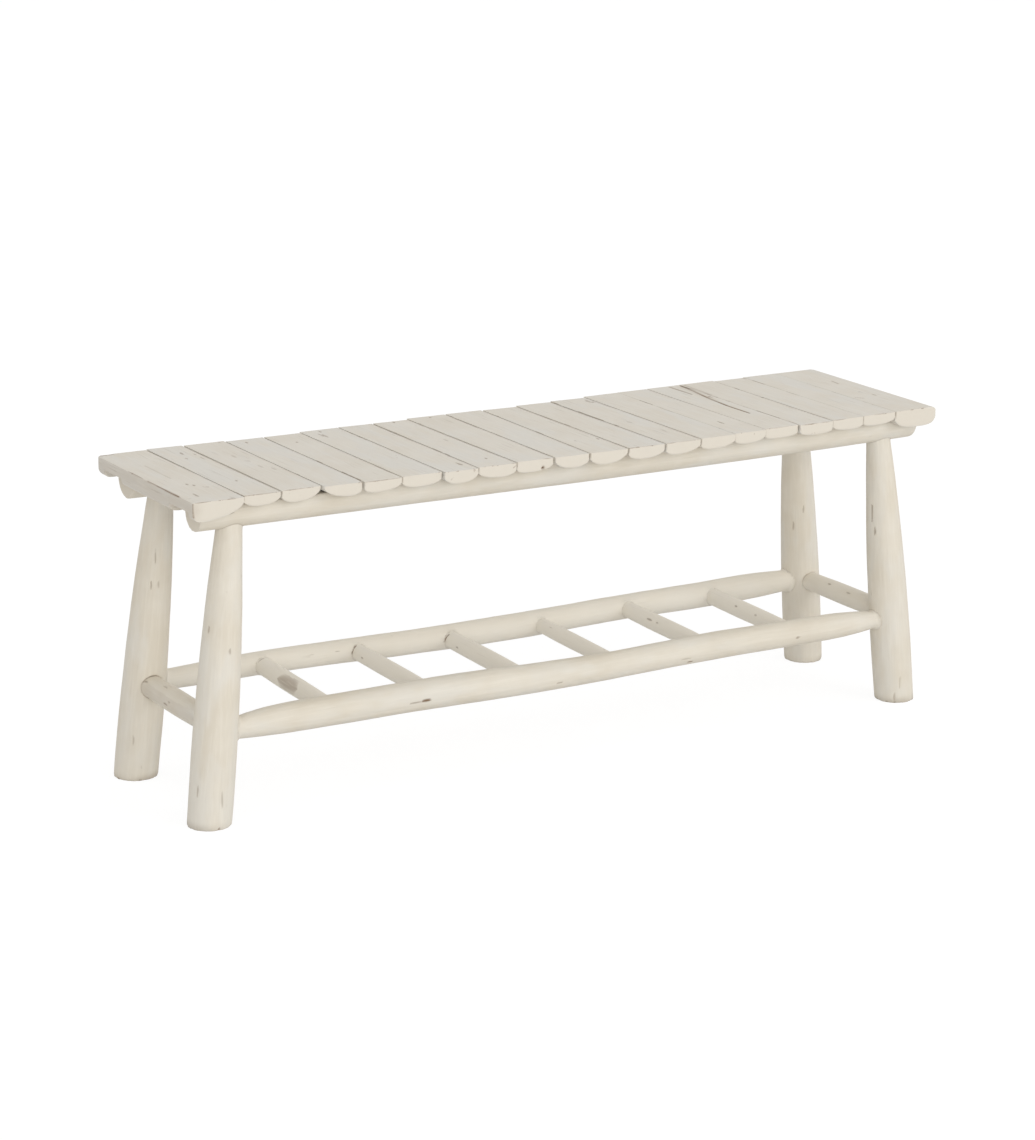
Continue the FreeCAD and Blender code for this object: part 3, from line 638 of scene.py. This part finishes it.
def half_round_slat_tree() -> ShapeTree:
    """A slat with a flat top, a belly and soft arrises, hewn a little unevenly.

    Returns:
        The tree, whose inputs are the slat's sizes in metres.
    """
    inputs = {**dict.fromkeys(SLAT_SIZES, Socket.NUMBER), **dict.fromkeys(SLAT_ROWS, Socket.COUNT)}
    tree = ShapeTree("half_round_slat", {**inputs, **GRAIN_INPUTS})
    g, given = tree.graph, tree.given
    blank = g.out("GeometryNodeMeshCube", "Mesh", {
        f"Vertices {axis}": given[rows] for axis, rows in zip("XYZ", SLAT_ROWS)})

    def crowd(share: Field, amount: float) -> Field:
        """Moves a share from 0 to 1 towards the nearer end."""
        return share - g.math("SINE", share * math.tau) * (amount / math.tau)

    # Rows of the unit block crowd towards its edges
    x, y, z = g.split(g.place())
    length = given["Back"] - given["Front"]
    size = (given["Right Front"] - given["Left Front"], length, given["Thickness"])
    down = crowd(0.5 - z, CROWD_DOWN)
    beside = crowd(x + 0.5, CROWD_FLAT)
    flat = (beside * size[0], crowd(y + 0.5, CROWD_FLAT) * size[1], down * size[2])
    reach = [g.math("MINIMUM", place, full - place) for place, full in zip(flat, size)]
    inner = g.math("MINIMUM", reach[0], reach[1])
    outer = g.math("MAXIMUM", reach[0], reach[1])
    off_arris = g.math("MAXIMUM", inner, g.math("MINIMUM", outer, reach[2]))
    rim = g.ramp(off_arris, *RIM_OFF, 1.0, 0.0) * g.ramp(down, *RIM_DOWN, 1.0, 0.0)
    blank = tree.store(blank, "rim", rim)

    # Arrises are rounder towards the belly and at the seat's ends
    at_end = given["Left Round"] * g.ramp(beside, 0.05, 0.35, 1.0, 0.0)
    at_end = at_end + given["Right Round"] * g.ramp(beside, 0.65, 0.95)
    soft = given["Arris"] + (given["Nose"] - given["Arris"]) * g.ramp(down, 0.1, 0.9)
    soft = g.math("MAXIMUM", soft, at_end)
    rounding = (soft, given["Arris"], soft)
    core = [g.clamp(place, radius, full - radius) for place, radius, full in zip(flat, rounding, size)]
    away = [(place - middle) / radius for place, middle, radius in zip(flat, core, rounding)]
    pushed = g.split(g.vector("NORMALIZE", g.combine(*away)))
    share = [(middle + push * radius) / full
             for middle, push, radius, full in zip(core, pushed, rounding, size)]

    # The section is drawn from the front to the back between the two sides
    left = given["Left Front"] + (given["Left Back"] - given["Left Front"]) * share[1]
    right = given["Right Front"] + (given["Right Back"] - given["Right Front"]) * share[1]
    off_end = g.math("MINIMUM", share[1], 1.0 - share[1]) * length
    corner = FRONT_CORNER + (1.0 - FRONT_CORNER) * share[1]
    left = left + round_off(g, given["Left Corner"] * corner, off_end)
    right = right - round_off(g, given["Right Corner"] * corner, off_end)
    over = given["Left Edge"] + (given["Right Edge"] - given["Left Edge"]) * share[0]
    off_middle = g.math("ABSOLUTE", share[0] * 2.0 - 1.0)
    depth = over + given["Belly"] * (1.0 - g.math("POWER", off_middle, BELLY_POWER))
    place_y = given["Front"] + length * share[1]
    from_rail = g.math("ABSOLUTE", g.math("ABSOLUTE", place_y) - given["Rail Offset"])
    notched = g.math("LESS_THAN", from_rail, given["Notch"])
    place_z = g.math("MAXIMUM", given["Top"] - share[2] * depth, given["Bed"] * notched)
    lower = g.math("ABSOLUTE", given["Tilt"]) * 0.5 + given["Tilt"] * (share[0] - 0.5)
    place_z = place_z - lower * (1.0 - notched * g.math("GREATER_THAN", share[2], 0.9))
    blank = tree.move(blank, Position=g.combine(left + (right - left) * share[0], place_y, place_z))

    # Uneven hewing only takes wood away
    place = g.place()
    drift = g.combine(*[given["Seed"] * step for step in HEWN_DRIFT])
    stretched = g.vector("MULTIPLY", place, (1.0, 0.25, 1.0))
    wave = g.noise(g.vector("ADD", stretched, drift), 60.0, 2.0) * 0.7
    wave = wave + g.noise(g.vector("ADD", place, drift), 22.0, 1.0) * 1.1
    normal = g.out("GeometryNodeInputNormal")
    rough = given["Hewn"] * (0.45 + 0.55 * g.ramp(g.split(normal)[2], -0.6, 0.4, 1.0, 0.0))
    blank = tree.move(blank, Offset=g.scale(normal, wave * rough * -1.0))
    tree.close(grow_grain(tree, blank))
    return tree


# How squarely a surface faces along the grain where its peeling fades
PEELED_SIDE = (0.60, 0.90)
# Heights over which peeling sets in and the worn rim fades above the sole
PEELED_ABOVE = (1.0 * MM, 12.0 * MM)
SOLE_RIM = (0.8 * MM, 3.2 * MM)
# How gradually a paint fillet ends along a joint
FILLET_FADE = 0.06


def peeled_pole_tree() -> ShapeTree:
    """The surface of a pole that was peeled by hand: long shallow facets and soft waves.

    Returns:
        The tree, which takes a closed mesh and the directions of its grain.
    """
    numbers = ("Peeled", "Fillet", "Open", "Fresh")
    tree = ShapeTree("peeled_pole", {**dict.fromkeys(numbers, Socket.NUMBER), **GRAIN_INPUTS})
    g, given = tree.graph, tree.given
    across, up, along = in_grain(tree)
    seed = given["Seed"]
    facets = g.noise(g.combine(across + seed, up + seed, along * 0.13 + seed), 75.0, 1.0)
    waves = g.noise(g.combine(across + seed, up, along * 0.6 + seed), 24.0, 2.0)
    height = g.split(g.place())[2]
    round_side = g.ramp(end_on(tree), *PEELED_SIDE, 1.0, 0.0) * g.ramp(height, *PEELED_ABOVE)
    cut = (facets * 0.8 + waves - 0.9) * given["Peeled"] * round_side

    # Paint fills most of the line round a joint
    closed = g.noise(g.combine(across + seed, up, along), 45.0, 1.0) - given["Open"]
    bridged = g.ramp(closed, -FILLET_FADE, FILLET_FADE)
    fill = round_off(g, given["Fillet"], to_neighbours(tree)) * bridged
    lift = g.scale(g.out("GeometryNodeInputNormal"), fill - cut)
    shaped = tree.move(given["Geometry"], Offset=lift)
    shaped = tree.store(shaped, "rim", g.ramp(height, *SOLE_RIM, 1.0, 0.0))
    # Painted light, which lifts the paint of a pole in shade towards pale
    shaped = tree.store(shaped, "fresh", given["Fresh"])
    tree.close(grow_grain(tree, shaped))
    return tree


@dataclass
class SeatSlat:
    """One half-round slat, read from its solid."""

    node: str
    seed: float
    front: float
    back: float
    left: Pair
    right: Pair
    top: float
    thickness: float
    edges: Pair
    tilt: float
    bed: float
    rail_offset: float
    nose: float
    rounds: Pair = (0.0, 0.0)
    corners: Pair = (0.0, 0.0)
    arris: float = 0.5 * MM
    hewn: float = 0.55 * MM
    notch: float = 28.0 * MM
    step_across: float = 0.9 * MM
    step_along: float = 1.9 * MM
    step_down: float = 1.3 * MM

    SAME_PLACE = 0.02 * MM
    # Half-width, depth and taper of a mark on a rubbed front arris and of painted shade along a gap
    WORN = (1.7, 0.25, 0.7)
    GAP = (1.5, 0.3, 0.6)

    @classmethod
    def from_solid(cls, number: int, tilt: float, nose: float) -> "SeatSlat":
        """Reads the slat's ends, sides and section from the corners of its solid.

        Args:
            number: its place from the left, which is also its seed.
            tilt: how much lower one side lies, in metres; the sign says which.
            nose: rounding of the belly's ends.

        Returns:
            The slat.
        """
        node = f"seat_slat_{number:02d}"
        rail_low, rail_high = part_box("front_rail")
        points = mesh_vectors(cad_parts[node].data)
        low, high = points.min(axis=0), points.max(axis=0)
        ends = [points[np.abs(points[:, 1] - y) < cls.SAME_PLACE] for y in (low[1], high[1])]
        face = ends[0]
        sides = [face[np.abs(face[:, 0] - x) < cls.SAME_PLACE] for x in (face[:, 0].min(), face[:, 0].max())]
        edges = tuple(float(high[2] - side[:, 2].min()) for side in sides)
        left, right = (tuple(float(outermost(end[:, 0])) for end in ends) for outermost in (np.min, np.max))
        front, back = (float(end[0, 1]) for end in ends)
        thickness = float(high[2] - face[:, 2].min())
        rail_offset = -(rail_low.y + rail_high.y) / 2.0
        return cls(node, float(number), front, back, left, right, float(high[2]), thickness, edges, tilt,
                   rail_high.z, rail_offset, nose)

    def belly(self) -> float:
        """How far the belly bows below the line between the two edges, in metres."""
        drop, lean = self.thickness - sum(self.edges) / 2.0, (self.edges[0] - self.edges[1]) / 2.0
        return (drop + math.sqrt(max(drop * drop - lean * lean, 0.0))) / 2.0

    def arris_mark(self, front: bool, begin: float, end: float, tone: float) -> Mark:
        """A stretch of a top arris where the paint is rubbed off, or painted shade along the gap beside it.

        Args:
            front: whether it is the front arris from the left, or the right one from the front.
            begin: where it begins, as a share of the arris.
            end: where it ends.
            tone: how bare or dark it is.

        Returns:
            The mark.
        """
        half_width, depth, taper = self.WORN if front else self.GAP
        first, last = (self.right[0], self.front, self.top), (self.right[1], self.back, self.top)
        if front:
            first, last = (self.left[0], self.front, self.top), first
        places = [tuple((a + (b - a) * share) / MM for a, b in zip(first, last)) for share in (begin, end)]
        return Mark(*places, half_width, depth, tone, taper)

    def build(self, shop: Workshop, marks: Sequence[Mark]) -> None:
        """Makes the slat's mesh and dresses it.

        Args:
            shop: the shared trees and materials.
            marks: the marks on this slat.
        """
        piece = put_in_scene(f"{self.node}_painted", bpy.data.meshes.new(self.node))
        sizes = (self.front, self.back, *self.left, *self.right, self.top, self.thickness, *self.edges,
                 self.belly(), self.bed, self.rail_offset, self.notch, self.arris, self.nose, *self.rounds,
                 *self.corners, self.tilt, self.hewn)
        rows = (round((self.right[0] - self.left[0]) / self.step_across),
                round((self.back - self.front) / self.step_along), round(self.thickness / self.step_down))
        values = {**dict(zip(SLAT_SIZES, sizes)), **dict(zip(SLAT_ROWS, rows)), "Seed": self.seed,
                  "Across": (1.0, 0.0, 0.0), "Up": (0.0, 0.0, 1.0), "Along": (0.0, 1.0, 0.0)}
        shop.shape(piece, self.node, shop.slat_tree, values, marks, SLAT_PAINT.slot)


@dataclass
class Pole:
    """One peeled pole, whose blank is taken from its solid."""

    node: str
    seed: float
    hull: bool = False
    voxel: float = 1.9 * MM
    peeled: float = 0.9 * MM
    fillet: float = 0.8 * MM
    open_line: float = 0.42
    # Share of painted light that lifts the paint towards pale where the pole lies in shade
    fresh: float = 0.0

    END_SHARE = 0.03
    SAME_PLACE = 0.01 * MM
    SOFTENING = 0.5
    SOFTENINGS = 2

    def direction(self) -> Vector:
        """The way the pole runs, from the middle of one end to the middle of the other.

        Returns:
            The direction, of length 1.
        """
        points = mesh_vectors(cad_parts[self.node].data)
        size = points.max(axis=0) - points.min(axis=0)
        axis = int(size.argmax())
        margin = self.END_SHARE * size[axis]
        place = points[:, axis]
        first = points[place < place.min() + margin].mean(axis=0)
        last = points[place > place.max() - margin].mean(axis=0)
        return Vector(last - first).normalized()

    def take_blank(self) -> Mesh:
        """Copies the solid as one closed mesh.

        Returns:
            The merged copy, or the hull round it.
        """
        shape = bmesh.new()
        shape.from_mesh(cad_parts[self.node].data)
        bmesh.ops.remove_doubles(shape, verts=shape.verts, dist=self.SAME_PLACE)
        if self.hull:
            hull = bmesh.ops.convex_hull(shape, input=shape.verts)
            loose = {part for key in ("geom_interior", "geom_unused") for part in hull[key]}
            corners = [part for part in loose if isinstance(part, bmesh.types.BMVert)]
            bmesh.ops.delete(shape, geom=corners, context="VERTS")
        mesh = bpy.data.meshes.new(self.node)
        shape.to_mesh(mesh)
        shape.free()
        return mesh

    def build(self, shop: Workshop, marks: Sequence[Mark]) -> None:
        """Makes the pole's mesh and dresses it.

        Args:
            shop: the shared trees and materials.
            marks: the marks on this pole.
        """
        piece = put_in_scene(f"{self.node}_painted", self.take_blank())
        remesh = piece.modifiers.new("even_faces", "REMESH")
        remesh.mode = "VOXEL"
        remesh.voxel_size = self.voxel
        remesh.adaptivity = 0.0
        soften = piece.modifiers.new("soften", "SMOOTH")
        soften.factor = self.SOFTENING
        soften.iterations = self.SOFTENINGS
        along = self.direction()
        up = Vector((0.0, 0.0, 1.0)) if abs(along.z) < 0.5 else Vector((0.0, 1.0, 0.0))
        across = along.cross(up).normalized()
        values = {"Peeled": self.peeled, "Fillet": self.fillet, "Open": self.open_line, "Fresh": self.fresh,
                  "Across": across, "Up": across.cross(along), "Along": along, "Seed": self.seed}
        shop.shape(piece, self.node, shop.pole_tree, values, marks, POLE_PAINT.slot)


# Sub-assemblies

@dataclass
class Seat:
    """The row of half-round slats."""

    shop: Workshop
    nose: float = 4.5 * MM
    end_nose: float = 9.0 * MM
    left_round: float = 2.0 * MM
    right_round: float = 7.5 * MM
    end_corner: float = 7.0 * MM
    first_hewn: float = 4.5 * MM
    gap_paint: Pair = (0.35, 0.35)

    # How much lower each slat's right side lies, or its left where less than 0, in millimetres
    TILTS = (0.6, 0.9, 0.4, 0.4, 0.4, 0.4, 0.8, 0.7, 0.5, 0.5,
             0.7, 0.7, 0.5, 0.0, 0.2, -0.1, 0.0, 0.0, 0.0, 0.0)
    # Shares of a gap that paint has closed at its front and back, by the slat on its left
    PAINTED_GAPS = {1: (0.8, 0.3), 3: (0.3, 0.8), 7: (0.8, 0.3), 10: (0.6, 0.3), 14: (1.0, 1.0),
                    15: (1.0, 0.35), 16: (0.75, 1.0), 17: (0.0, 1.0), 18: (1.0, 1.0), 19: (1.0, 1.0)}
    # Painted shade along stretches of the gaps: the slat on its left, begin and end from the front, and tone
    DARK_GAPS = (
        (1, 0.5, 1, 0.45), (2, 0, 1, 0.5), (7, 0.6, 1, 0.6), (8, 0.1, 0.75, 0.55), (9, 0, 0.3, 0.6),
        (11, 0.5, 1, 0.5), (12, 0.5, 1, 0.5), (15, 0.6, 1, 0.5), (17, 0, 0.58, 0.85))
    # Rubbed stretches of the front arrises: slat, begin and end across its width, and tone
    WORN_ARRISES = (
        (1, 0.02, 0.35, 0.75), (1, 0.55, 0.9, 0.55), (2, 0.04, 0.98, 0.8), (3, 0.03, 0.62, 0.6),
        (3, 0.62, 0.75, 0.9), (5, 0.02, 0.95, 0.75), (8, 0.85, 0.98, 0.8), (9, 0.7, 0.96, 0.7),
        (12, 0, 0.16, 0.9), (12, 0.16, 0.85, 0.3), (13, 0, 0.28, 0.65), (13, 0.28, 0.95, 0.28),
        (16, 0.05, 0.7, 0.3), (17, 0.05, 0.48, 0.75), (17, 0.6, 0.92, 0.45), (18, 0.02, 0.4, 0.65),
        (19, 0.35, 0.75, 0.45))
    # Dents and nail marks on the flat: length, half-width, tone and depth, then their places
    DENTS = (
        ((6, 2.6, 0.7, 0.7), (
            (-500, 82), (-496, -61), (-562, -49), (-556, -58), (-387, 127), (-325, 96), (-267, 137),
            (-147, 141), (-143, -110), (-87, 142), (54, -83))),
        ((14, 3, 0.25, 0.4), ((-439, 62), (-433, -6), (-423, -26), (-137, 10))),
        ((15, 2, 0.75, 0.7), ((262, -83),)))
    # Scars and painted shade by start, end, half-width, depth, tone and taper; a third number of a place is
    # its drop
    SCARS = (
        # Slat 16: its long crack, the hole at its end and a shorter crack
        ((349, 149), (345, 108), 4.2, 0.9, 0.75), ((345, 108), (338, 61), 3.6, 0.9, 0.9),
        ((338, 61), (333, 5), 3.2, 0.9, 1), ((333, 5), (333.5, -52), 2.8, 0.9, 0.95),
        ((333.5, -52), (333.5, -52), 2.8, 1.2, 0.95), ((344, 140), (336, 40), 9, 0.3, 0.13),
        ((329, 149), (330, 92), 3.2, 0.4, 0.55),
        # Slats 17, 19 and 20
        ((356, 150), (353, 74), 3.2, 0.4, 0.28), ((410, 24), (410, 24), 2.6, 0.8, 0.85),
        ((504, -145), (504, -145), 2.2, 0.6, 0.7), ((532, -42), (540, -51), 2.4, 0.5, 0.4),
        ((570, 69), (567, 49), 2.2, 0.5, 0.45),
        # Slat 1: its top, left arris and corners, and painted shade along its left side
        ((-567, 71), (-567, -11), 1.8, 0.3, 0.25), ((-600, 41), (-600, 41), 3, 1, 0.8),
        ((-600, 54), (-600, 6), 2.2, 0.5, 0.45, 0.8), ((-600, -8), (-600, -62), 2.6, 0.6, 0.7),
        ((-600, -62), (-600, -102), 3.4, 1, 0.9), ((-597, 151), (-578, 152), 4.5, 0.8, 0.6),
        ((-600, -146, 2), (-600, -146, 20), 2.4, 0.2, 0.7), ((-600, -146, 10), (-600, 154, 10), 20, 0, 0.14),
        # A chip at the foot of slat 9's front
        ((-76.5, -151, 13.5), (-76.5, -151, 13.5), 4, 3, 0.95))

    def marks(self, top: float) -> list[Mark]:
        """Dents, nail marks, scars and drying cracks of the seat, and painted shade along slat 1's left side.

        Args:
            top: height of the seat in millimetres.

        Returns:
            The marks.
        """
        def at(x: float, y: float, drop: float = 0.0) -> Point:
            """A place on the seat's flat or below it."""
            return (x, y, top - drop)

        found = [check(Along.DEPTH, at(*place), *form) for form, places in self.DENTS for place in places]
        return found + [Mark(at(*start), at(*end), *form) for start, end, *form in self.SCARS]

    def read_slats(self) -> list[SeatSlat]:
        """Reads every slat from its solid and lets paint close the gaps between them.

        Returns:
            The slats, left to right.
        """
        last = len(self.TILTS)
        slats = [SeatSlat.from_solid(number, tilt * MM, self.end_nose if number in (1, last) else self.nose)
                 for number, tilt in enumerate(self.TILTS, start=1)]
        slats[0].thickness -= self.first_hewn
        slats[0].rounds, slats[-1].rounds = (self.left_round, 0.0), (0.0, self.right_round)
        slats[0].corners, slats[-1].corners = (self.end_corner, 0.0), (0.0, self.end_corner)
        for number, (left, right) in enumerate(zip(slats, slats[1:]), start=1):
            painted = self.PAINTED_GAPS.get(number, self.gap_paint)
            half = [(b - a) * share / 2.0 for a, b, share in zip(left.right, right.left, painted)]
            left.right = (left.right[0] + half[0], left.right[1] + half[1])
            right.left = (right.left[0] - half[0], right.left[1] - half[1])
        return slats

    def build(self) -> None:
        """Builds every slat."""
        slats = self.read_slats()
        marks = self.marks(slats[0].top / MM)
        for number, slat in enumerate(slats, start=1):
            # Rubbed front arrises, and painted shade along the dark gaps
            worn = [slat.arris_mark(front, *stretch)
                    for front, rows in ((True, self.WORN_ARRISES), (False, self.DARK_GAPS))
                    for owner, *stretch in rows if owner == number]
            slat.build(self.shop, marks_on(slat.node, marks) + worn)


@dataclass
class Underframe:
    """The two half-round rails and the four legs."""

    shop: Workshop
    rails: tuple[str, ...] = ("front_rail", "back_rail")
    legs: tuple[str, ...] = ("front_left_leg", "front_right_leg", "back_left_leg", "back_right_leg")
    rail_voxel: float = 2.1 * MM
    rail_peeled: float = 0.7 * MM
    leg_peeled: float = 1.1 * MM

    RAIL_SEED = 31.0
    LEG_SEED = 51.0
    # Drying checks and chips by place, length, half-width and tone, leg by leg
    LEG_CHECKS = (
        ((-566, -117, 268), 8, 1.8, 0.65), ((-545, -136, 241), 9, 2, 0.6), ((-591, -128, 55), 16, 1.6, 0.5),
        ((-564, -145, 42), 26, 1.6, 0.55), ((-569, -146, 1), 5, 3, 0.75), ((-547, 86, 318), 20, 1.6, 0.4),
        ((-554, 86, 278), 10, 1.6, 0.45), ((-545, 83, 278), 12, 1.6, 0.5), ((-583, 91, 59), 14, 1.6, 0.4),
        ((536, 84, 250), 9, 1.8, 0.6), ((525, 93, 223), 14, 1.8, 0.5), ((516, 90, 270), 10, 1.6, 0.35),
        ((516, -113, 291), 22, 1.7, 0.55), ((519, -118, 264), 11, 1.9, 0.65),
        ((551, -140, 10), 14, 1.8, 0.55), ((558, -143, 32), 16, 1.5, 0.3))

    def build(self) -> None:
        """Builds the rails and the legs."""
        for number, node in enumerate(self.rails):
            rail = Pole(node, self.RAIL_SEED + number, True, self.rail_voxel, self.rail_peeled)
            rail.build(self.shop, [])
        marks = [check(Along.HEIGHT, *form) for form in self.LEG_CHECKS]
        for number, node in enumerate(self.legs):
            leg = Pole(node, self.LEG_SEED + number, peeled=self.leg_peeled)
            leg.build(self.shop, marks_on(node, marks))


@dataclass
class Rack:
    """The low rack of long stretchers, end stretchers and rungs."""

    shop: Workshop
    stretchers: tuple[str, ...] = ("front_stretcher", "back_stretcher")
    ends: tuple[str, ...] = ("left_end_stretcher", "right_end_stretcher")
    rungs: int = 6

    STRETCHER_SEED = 71.0
    END_SEED = 81.0
    RUNG_SEED = 91.0
    # Knots of the front stretcher by place, length, half-width and tone
    KNOTS = (
        ((-248, -134, 127), 14, 3.4, 1), ((-265, -134, 126), 16, 1.6, 0.5), ((-33, -132, 119), 9, 1.8, 0.45),
        ((189, -128, 115), 8, 2.4, 0.85), ((180, -130, 122), 14, 1.8, 0.3), ((375, -132, 125), 6, 2.4, 0.9))
    # Scars and darker tones of the rungs and end stretchers by place, length, half-width, tone and depth
    SCARS = (
        ((546, 24, 145), 7, 2.2, 0.55), ((545, -26, 143), 9, 2, 0.5), ((371, 18, 135), 6, 2, 0.5),
        ((371, -33, 134), 6, 2, 0.5), ((219, 22, 135), 12, 2.2, 0.55), ((219, 2, 135), 5, 1.8, 0.5),
        ((-571, 8, 133), 10, 2.4, 0.6), ((-568, -2, 137), 8, 1.6, 0.5), ((-560, 30, 146), 12, 1.6, 0.4),
        ((-239.8, 66, 133), 6, 1.8, 0.6), ((-89, 58, 128.5), 7, 1.8, 0.6),
        # A patch on rung 1, and a broad darker tone over the left end stretcher
        ((-391.5, 0, 136), 46, 24, 0.4, 0.3), ((-569, 10, 135), 150, 24, 0.12, 0))
    # Dark lines where three rungs enter the back stretcher
    LINES = (
        ((-388, 93.5, 141), (-381, 93.5, 146), 1.5, 0.4, 0.6),
        ((-239.5, 95, 132.5), (-233.5, 96, 141.5), 2, 0.6, 0.9),
        ((-88.8, 93.5, 128.5), (-83.5, 91.5, 138.5), 2, 0.6, 0.85))

    def build(self) -> None:
        """Builds the stretchers and the rungs."""
        marks = [check(Along.LENGTH, *form) for form in self.KNOTS]
        marks += [check(Along.DEPTH, *form) for form in self.SCARS]
        marks += [Mark(*form) for form in self.LINES]
        # Painted light brightens the back stretcher, the right end stretcher and the rungs, which lie in
        # shade
        poles = [Pole(node, self.STRETCHER_SEED + number, peeled=1.3 * MM, fillet=5.0 * MM, open_line=0.2,
                      fresh=0.6 * number) for number, node in enumerate(self.stretchers)]
        poles += [Pole(node, self.END_SEED + number, voxel=1.5 * MM, fillet=1.6 * MM, fresh=0.35 * number)
                  for number, node in enumerate(self.ends)]
        poles += [Pole(f"rack_rung_{number + 1}", self.RUNG_SEED + number, voxel=1.3 * MM, peeled=0.7 * MM,
                       fillet=2.2 * MM, fresh=0.9) for number in range(self.rungs)]
        for pole in poles:
            pole.build(self.shop, marks_on(pole.node, marks))


@dataclass
class Fasteners:
    """Nails and screws, which stay as their solids inside the wood."""

    shop: Workshop

    def dress(self) -> None:
        """Gives the nails and screws their steel."""
        for node, steel in zip(FASTENERS, (NAIL_STEEL, SCREW_STEEL)):
            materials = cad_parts[node].data.materials
            materials.clear()
            materials.append(self.shop.materials[steel.slot])
            log.info("%s: dressed", node)


# Studio

@dataclass(frozen=True)
class SoftLamp:
    """A broad square lamp that looks at the bench."""

    name: str
    place: Point
    size: float
    power: float

    AIM = (0.0, 0.0, 0.25)

    def build(self) -> None:
        """Hangs the lamp."""
        lamp = bpy.data.lights.new(self.name, "AREA")
        lamp.energy = self.power
        lamp.size = self.size
        hung = put_in_scene(self.name, lamp)
        hung.location = self.place
        look = Vector(self.AIM) - Vector(self.place)
        hung.rotation_euler = look.to_track_quat("-Z", "Y").to_euler()


SEEN_RAYS = ("Is Camera Ray", "Is Glossy Ray", "Is Transmission Ray")


def seen_directly(g: Graph) -> Field:
    """1 for rays that come from the camera, also by a mirror or through glass, and 0 for light."""
    rays = [Field(g, socket) for socket in g.add("ShaderNodeLightPath").outputs if socket.name in SEEN_RAYS]
    return g.math("MAXIMUM", g.math("MAXIMUM", rays[0], rays[1]), rays[2])


@dataclass
class Studio:
    """Camera, soft light and a white floor that keeps a faint shadow."""

    place: Point = (-2.348449, -3.830916, 1.490092)
    yaw: float = -0.545343
    pitch: float = 0.270146
    roll: float = 0.011324
    focal_pixels: float = 3273.17
    frame_height: float = 1140.0
    sensor: float = 36.0
    floor_reach: float = 40.0
    floor_glow: float = 1.12
    shadow_share: float = 0.22
    lamps: tuple[SoftLamp, ...] = (SoftLamp("key", (2.9, -5.0, 3.1), 3.6, 90.0),
                                   SoftLamp("fill", (-2.3, -5.2, 1.5), 2.8, 70.0))
    sky: float = 0.77

    SKY_TINT = (1.0, 0.99, 0.97, 1.0)
    FLOOR_GREY = (0.80, 0.80, 0.80, 1.0)

    def build(self) -> None:
        """Builds the camera, the lights and the floor."""
        self.add_camera()
        self.add_lights()
        self.add_floor()
        bpy.context.scene.view_settings.view_transform = "Standard"

    def add_camera(self) -> None:
        """Places the camera where the picture was taken from."""
        data = bpy.data.cameras.new("camera")
        data.lens = self.focal_pixels / self.frame_height * self.sensor
        data.sensor_width = self.sensor
        data.clip_end = 4.0 * self.floor_reach
        camera = put_in_scene("camera", data)
        back = Vector((math.sin(self.yaw) * math.cos(self.pitch),
                       -math.cos(self.yaw) * math.cos(self.pitch), math.sin(self.pitch)))
        right = (-back).cross(Vector((0.0, 0.0, 1.0))).normalized()
        up = right.cross(-back)
        turned_right = math.cos(self.roll) * right + math.sin(self.roll) * up
        turned_up = math.cos(self.roll) * up - math.sin(self.roll) * right
        turn = Matrix((turned_right, turned_up, back)).transposed().to_4x4()
        camera.matrix_world = Matrix.Translation(self.place) @ turn
        bpy.context.scene.camera = camera

    def add_lights(self) -> None:
        """Hangs the lamps and adds an even sky."""
        for lamp in self.lamps:
            lamp.build()
        world = bpy.data.worlds.new("sky")
        g = empty_graph(world)
        sky = g.out("ShaderNodeBackground", inputs={"Color": self.SKY_TINT, "Strength": self.sky})
        white = g.out("ShaderNodeBackground", inputs={"Color": WHITE, "Strength": 1.0})
        both = g.out("ShaderNodeMixShader", inputs={0: seen_directly(g), 1: sky, 2: white})
        g.add("ShaderNodeOutputWorld", {"Surface": both})
        bpy.context.scene.world = world

    def add_floor(self) -> None:
        """Lays the white floor."""
        reach = self.floor_reach
        corners = [(x * reach, y * reach, 0.0) for x, y in ((-1, -1), (1, -1), (1, 1), (-1, 1))]
        mesh = bpy.data.meshes.new("floor")
        mesh.from_pydata(corners, [], [(0, 1, 2, 3)])
        floor = put_in_scene("floor", mesh)
        made = bpy.data.materials.new("white_floor")
        g = empty_graph(made)
        matt = g.out("ShaderNodeBsdfDiffuse", inputs={"Color": self.FLOOR_GREY})
        white = g.out("ShaderNodeEmission", inputs={"Color": WHITE, "Strength": self.floor_glow})
        share = seen_directly(g) * (1.0 - self.shadow_share)
        both = g.out("ShaderNodeMixShader", inputs={0: share, 1: matt, 2: white})
        g.add("ShaderNodeOutputMaterial", {"Surface": both})
        mesh.materials.append(made)


def main() -> None:
    """Builds the bench's looks."""
    logging.basicConfig(level=logging.INFO, format="%(name)s: %(message)s")
    shop = Workshop()
    Seat(shop).build()
    Underframe(shop).build()
    Rack(shop).build()
    Fasteners(shop).dress()
    Studio().build()


if __name__ == "__main__":
    main()
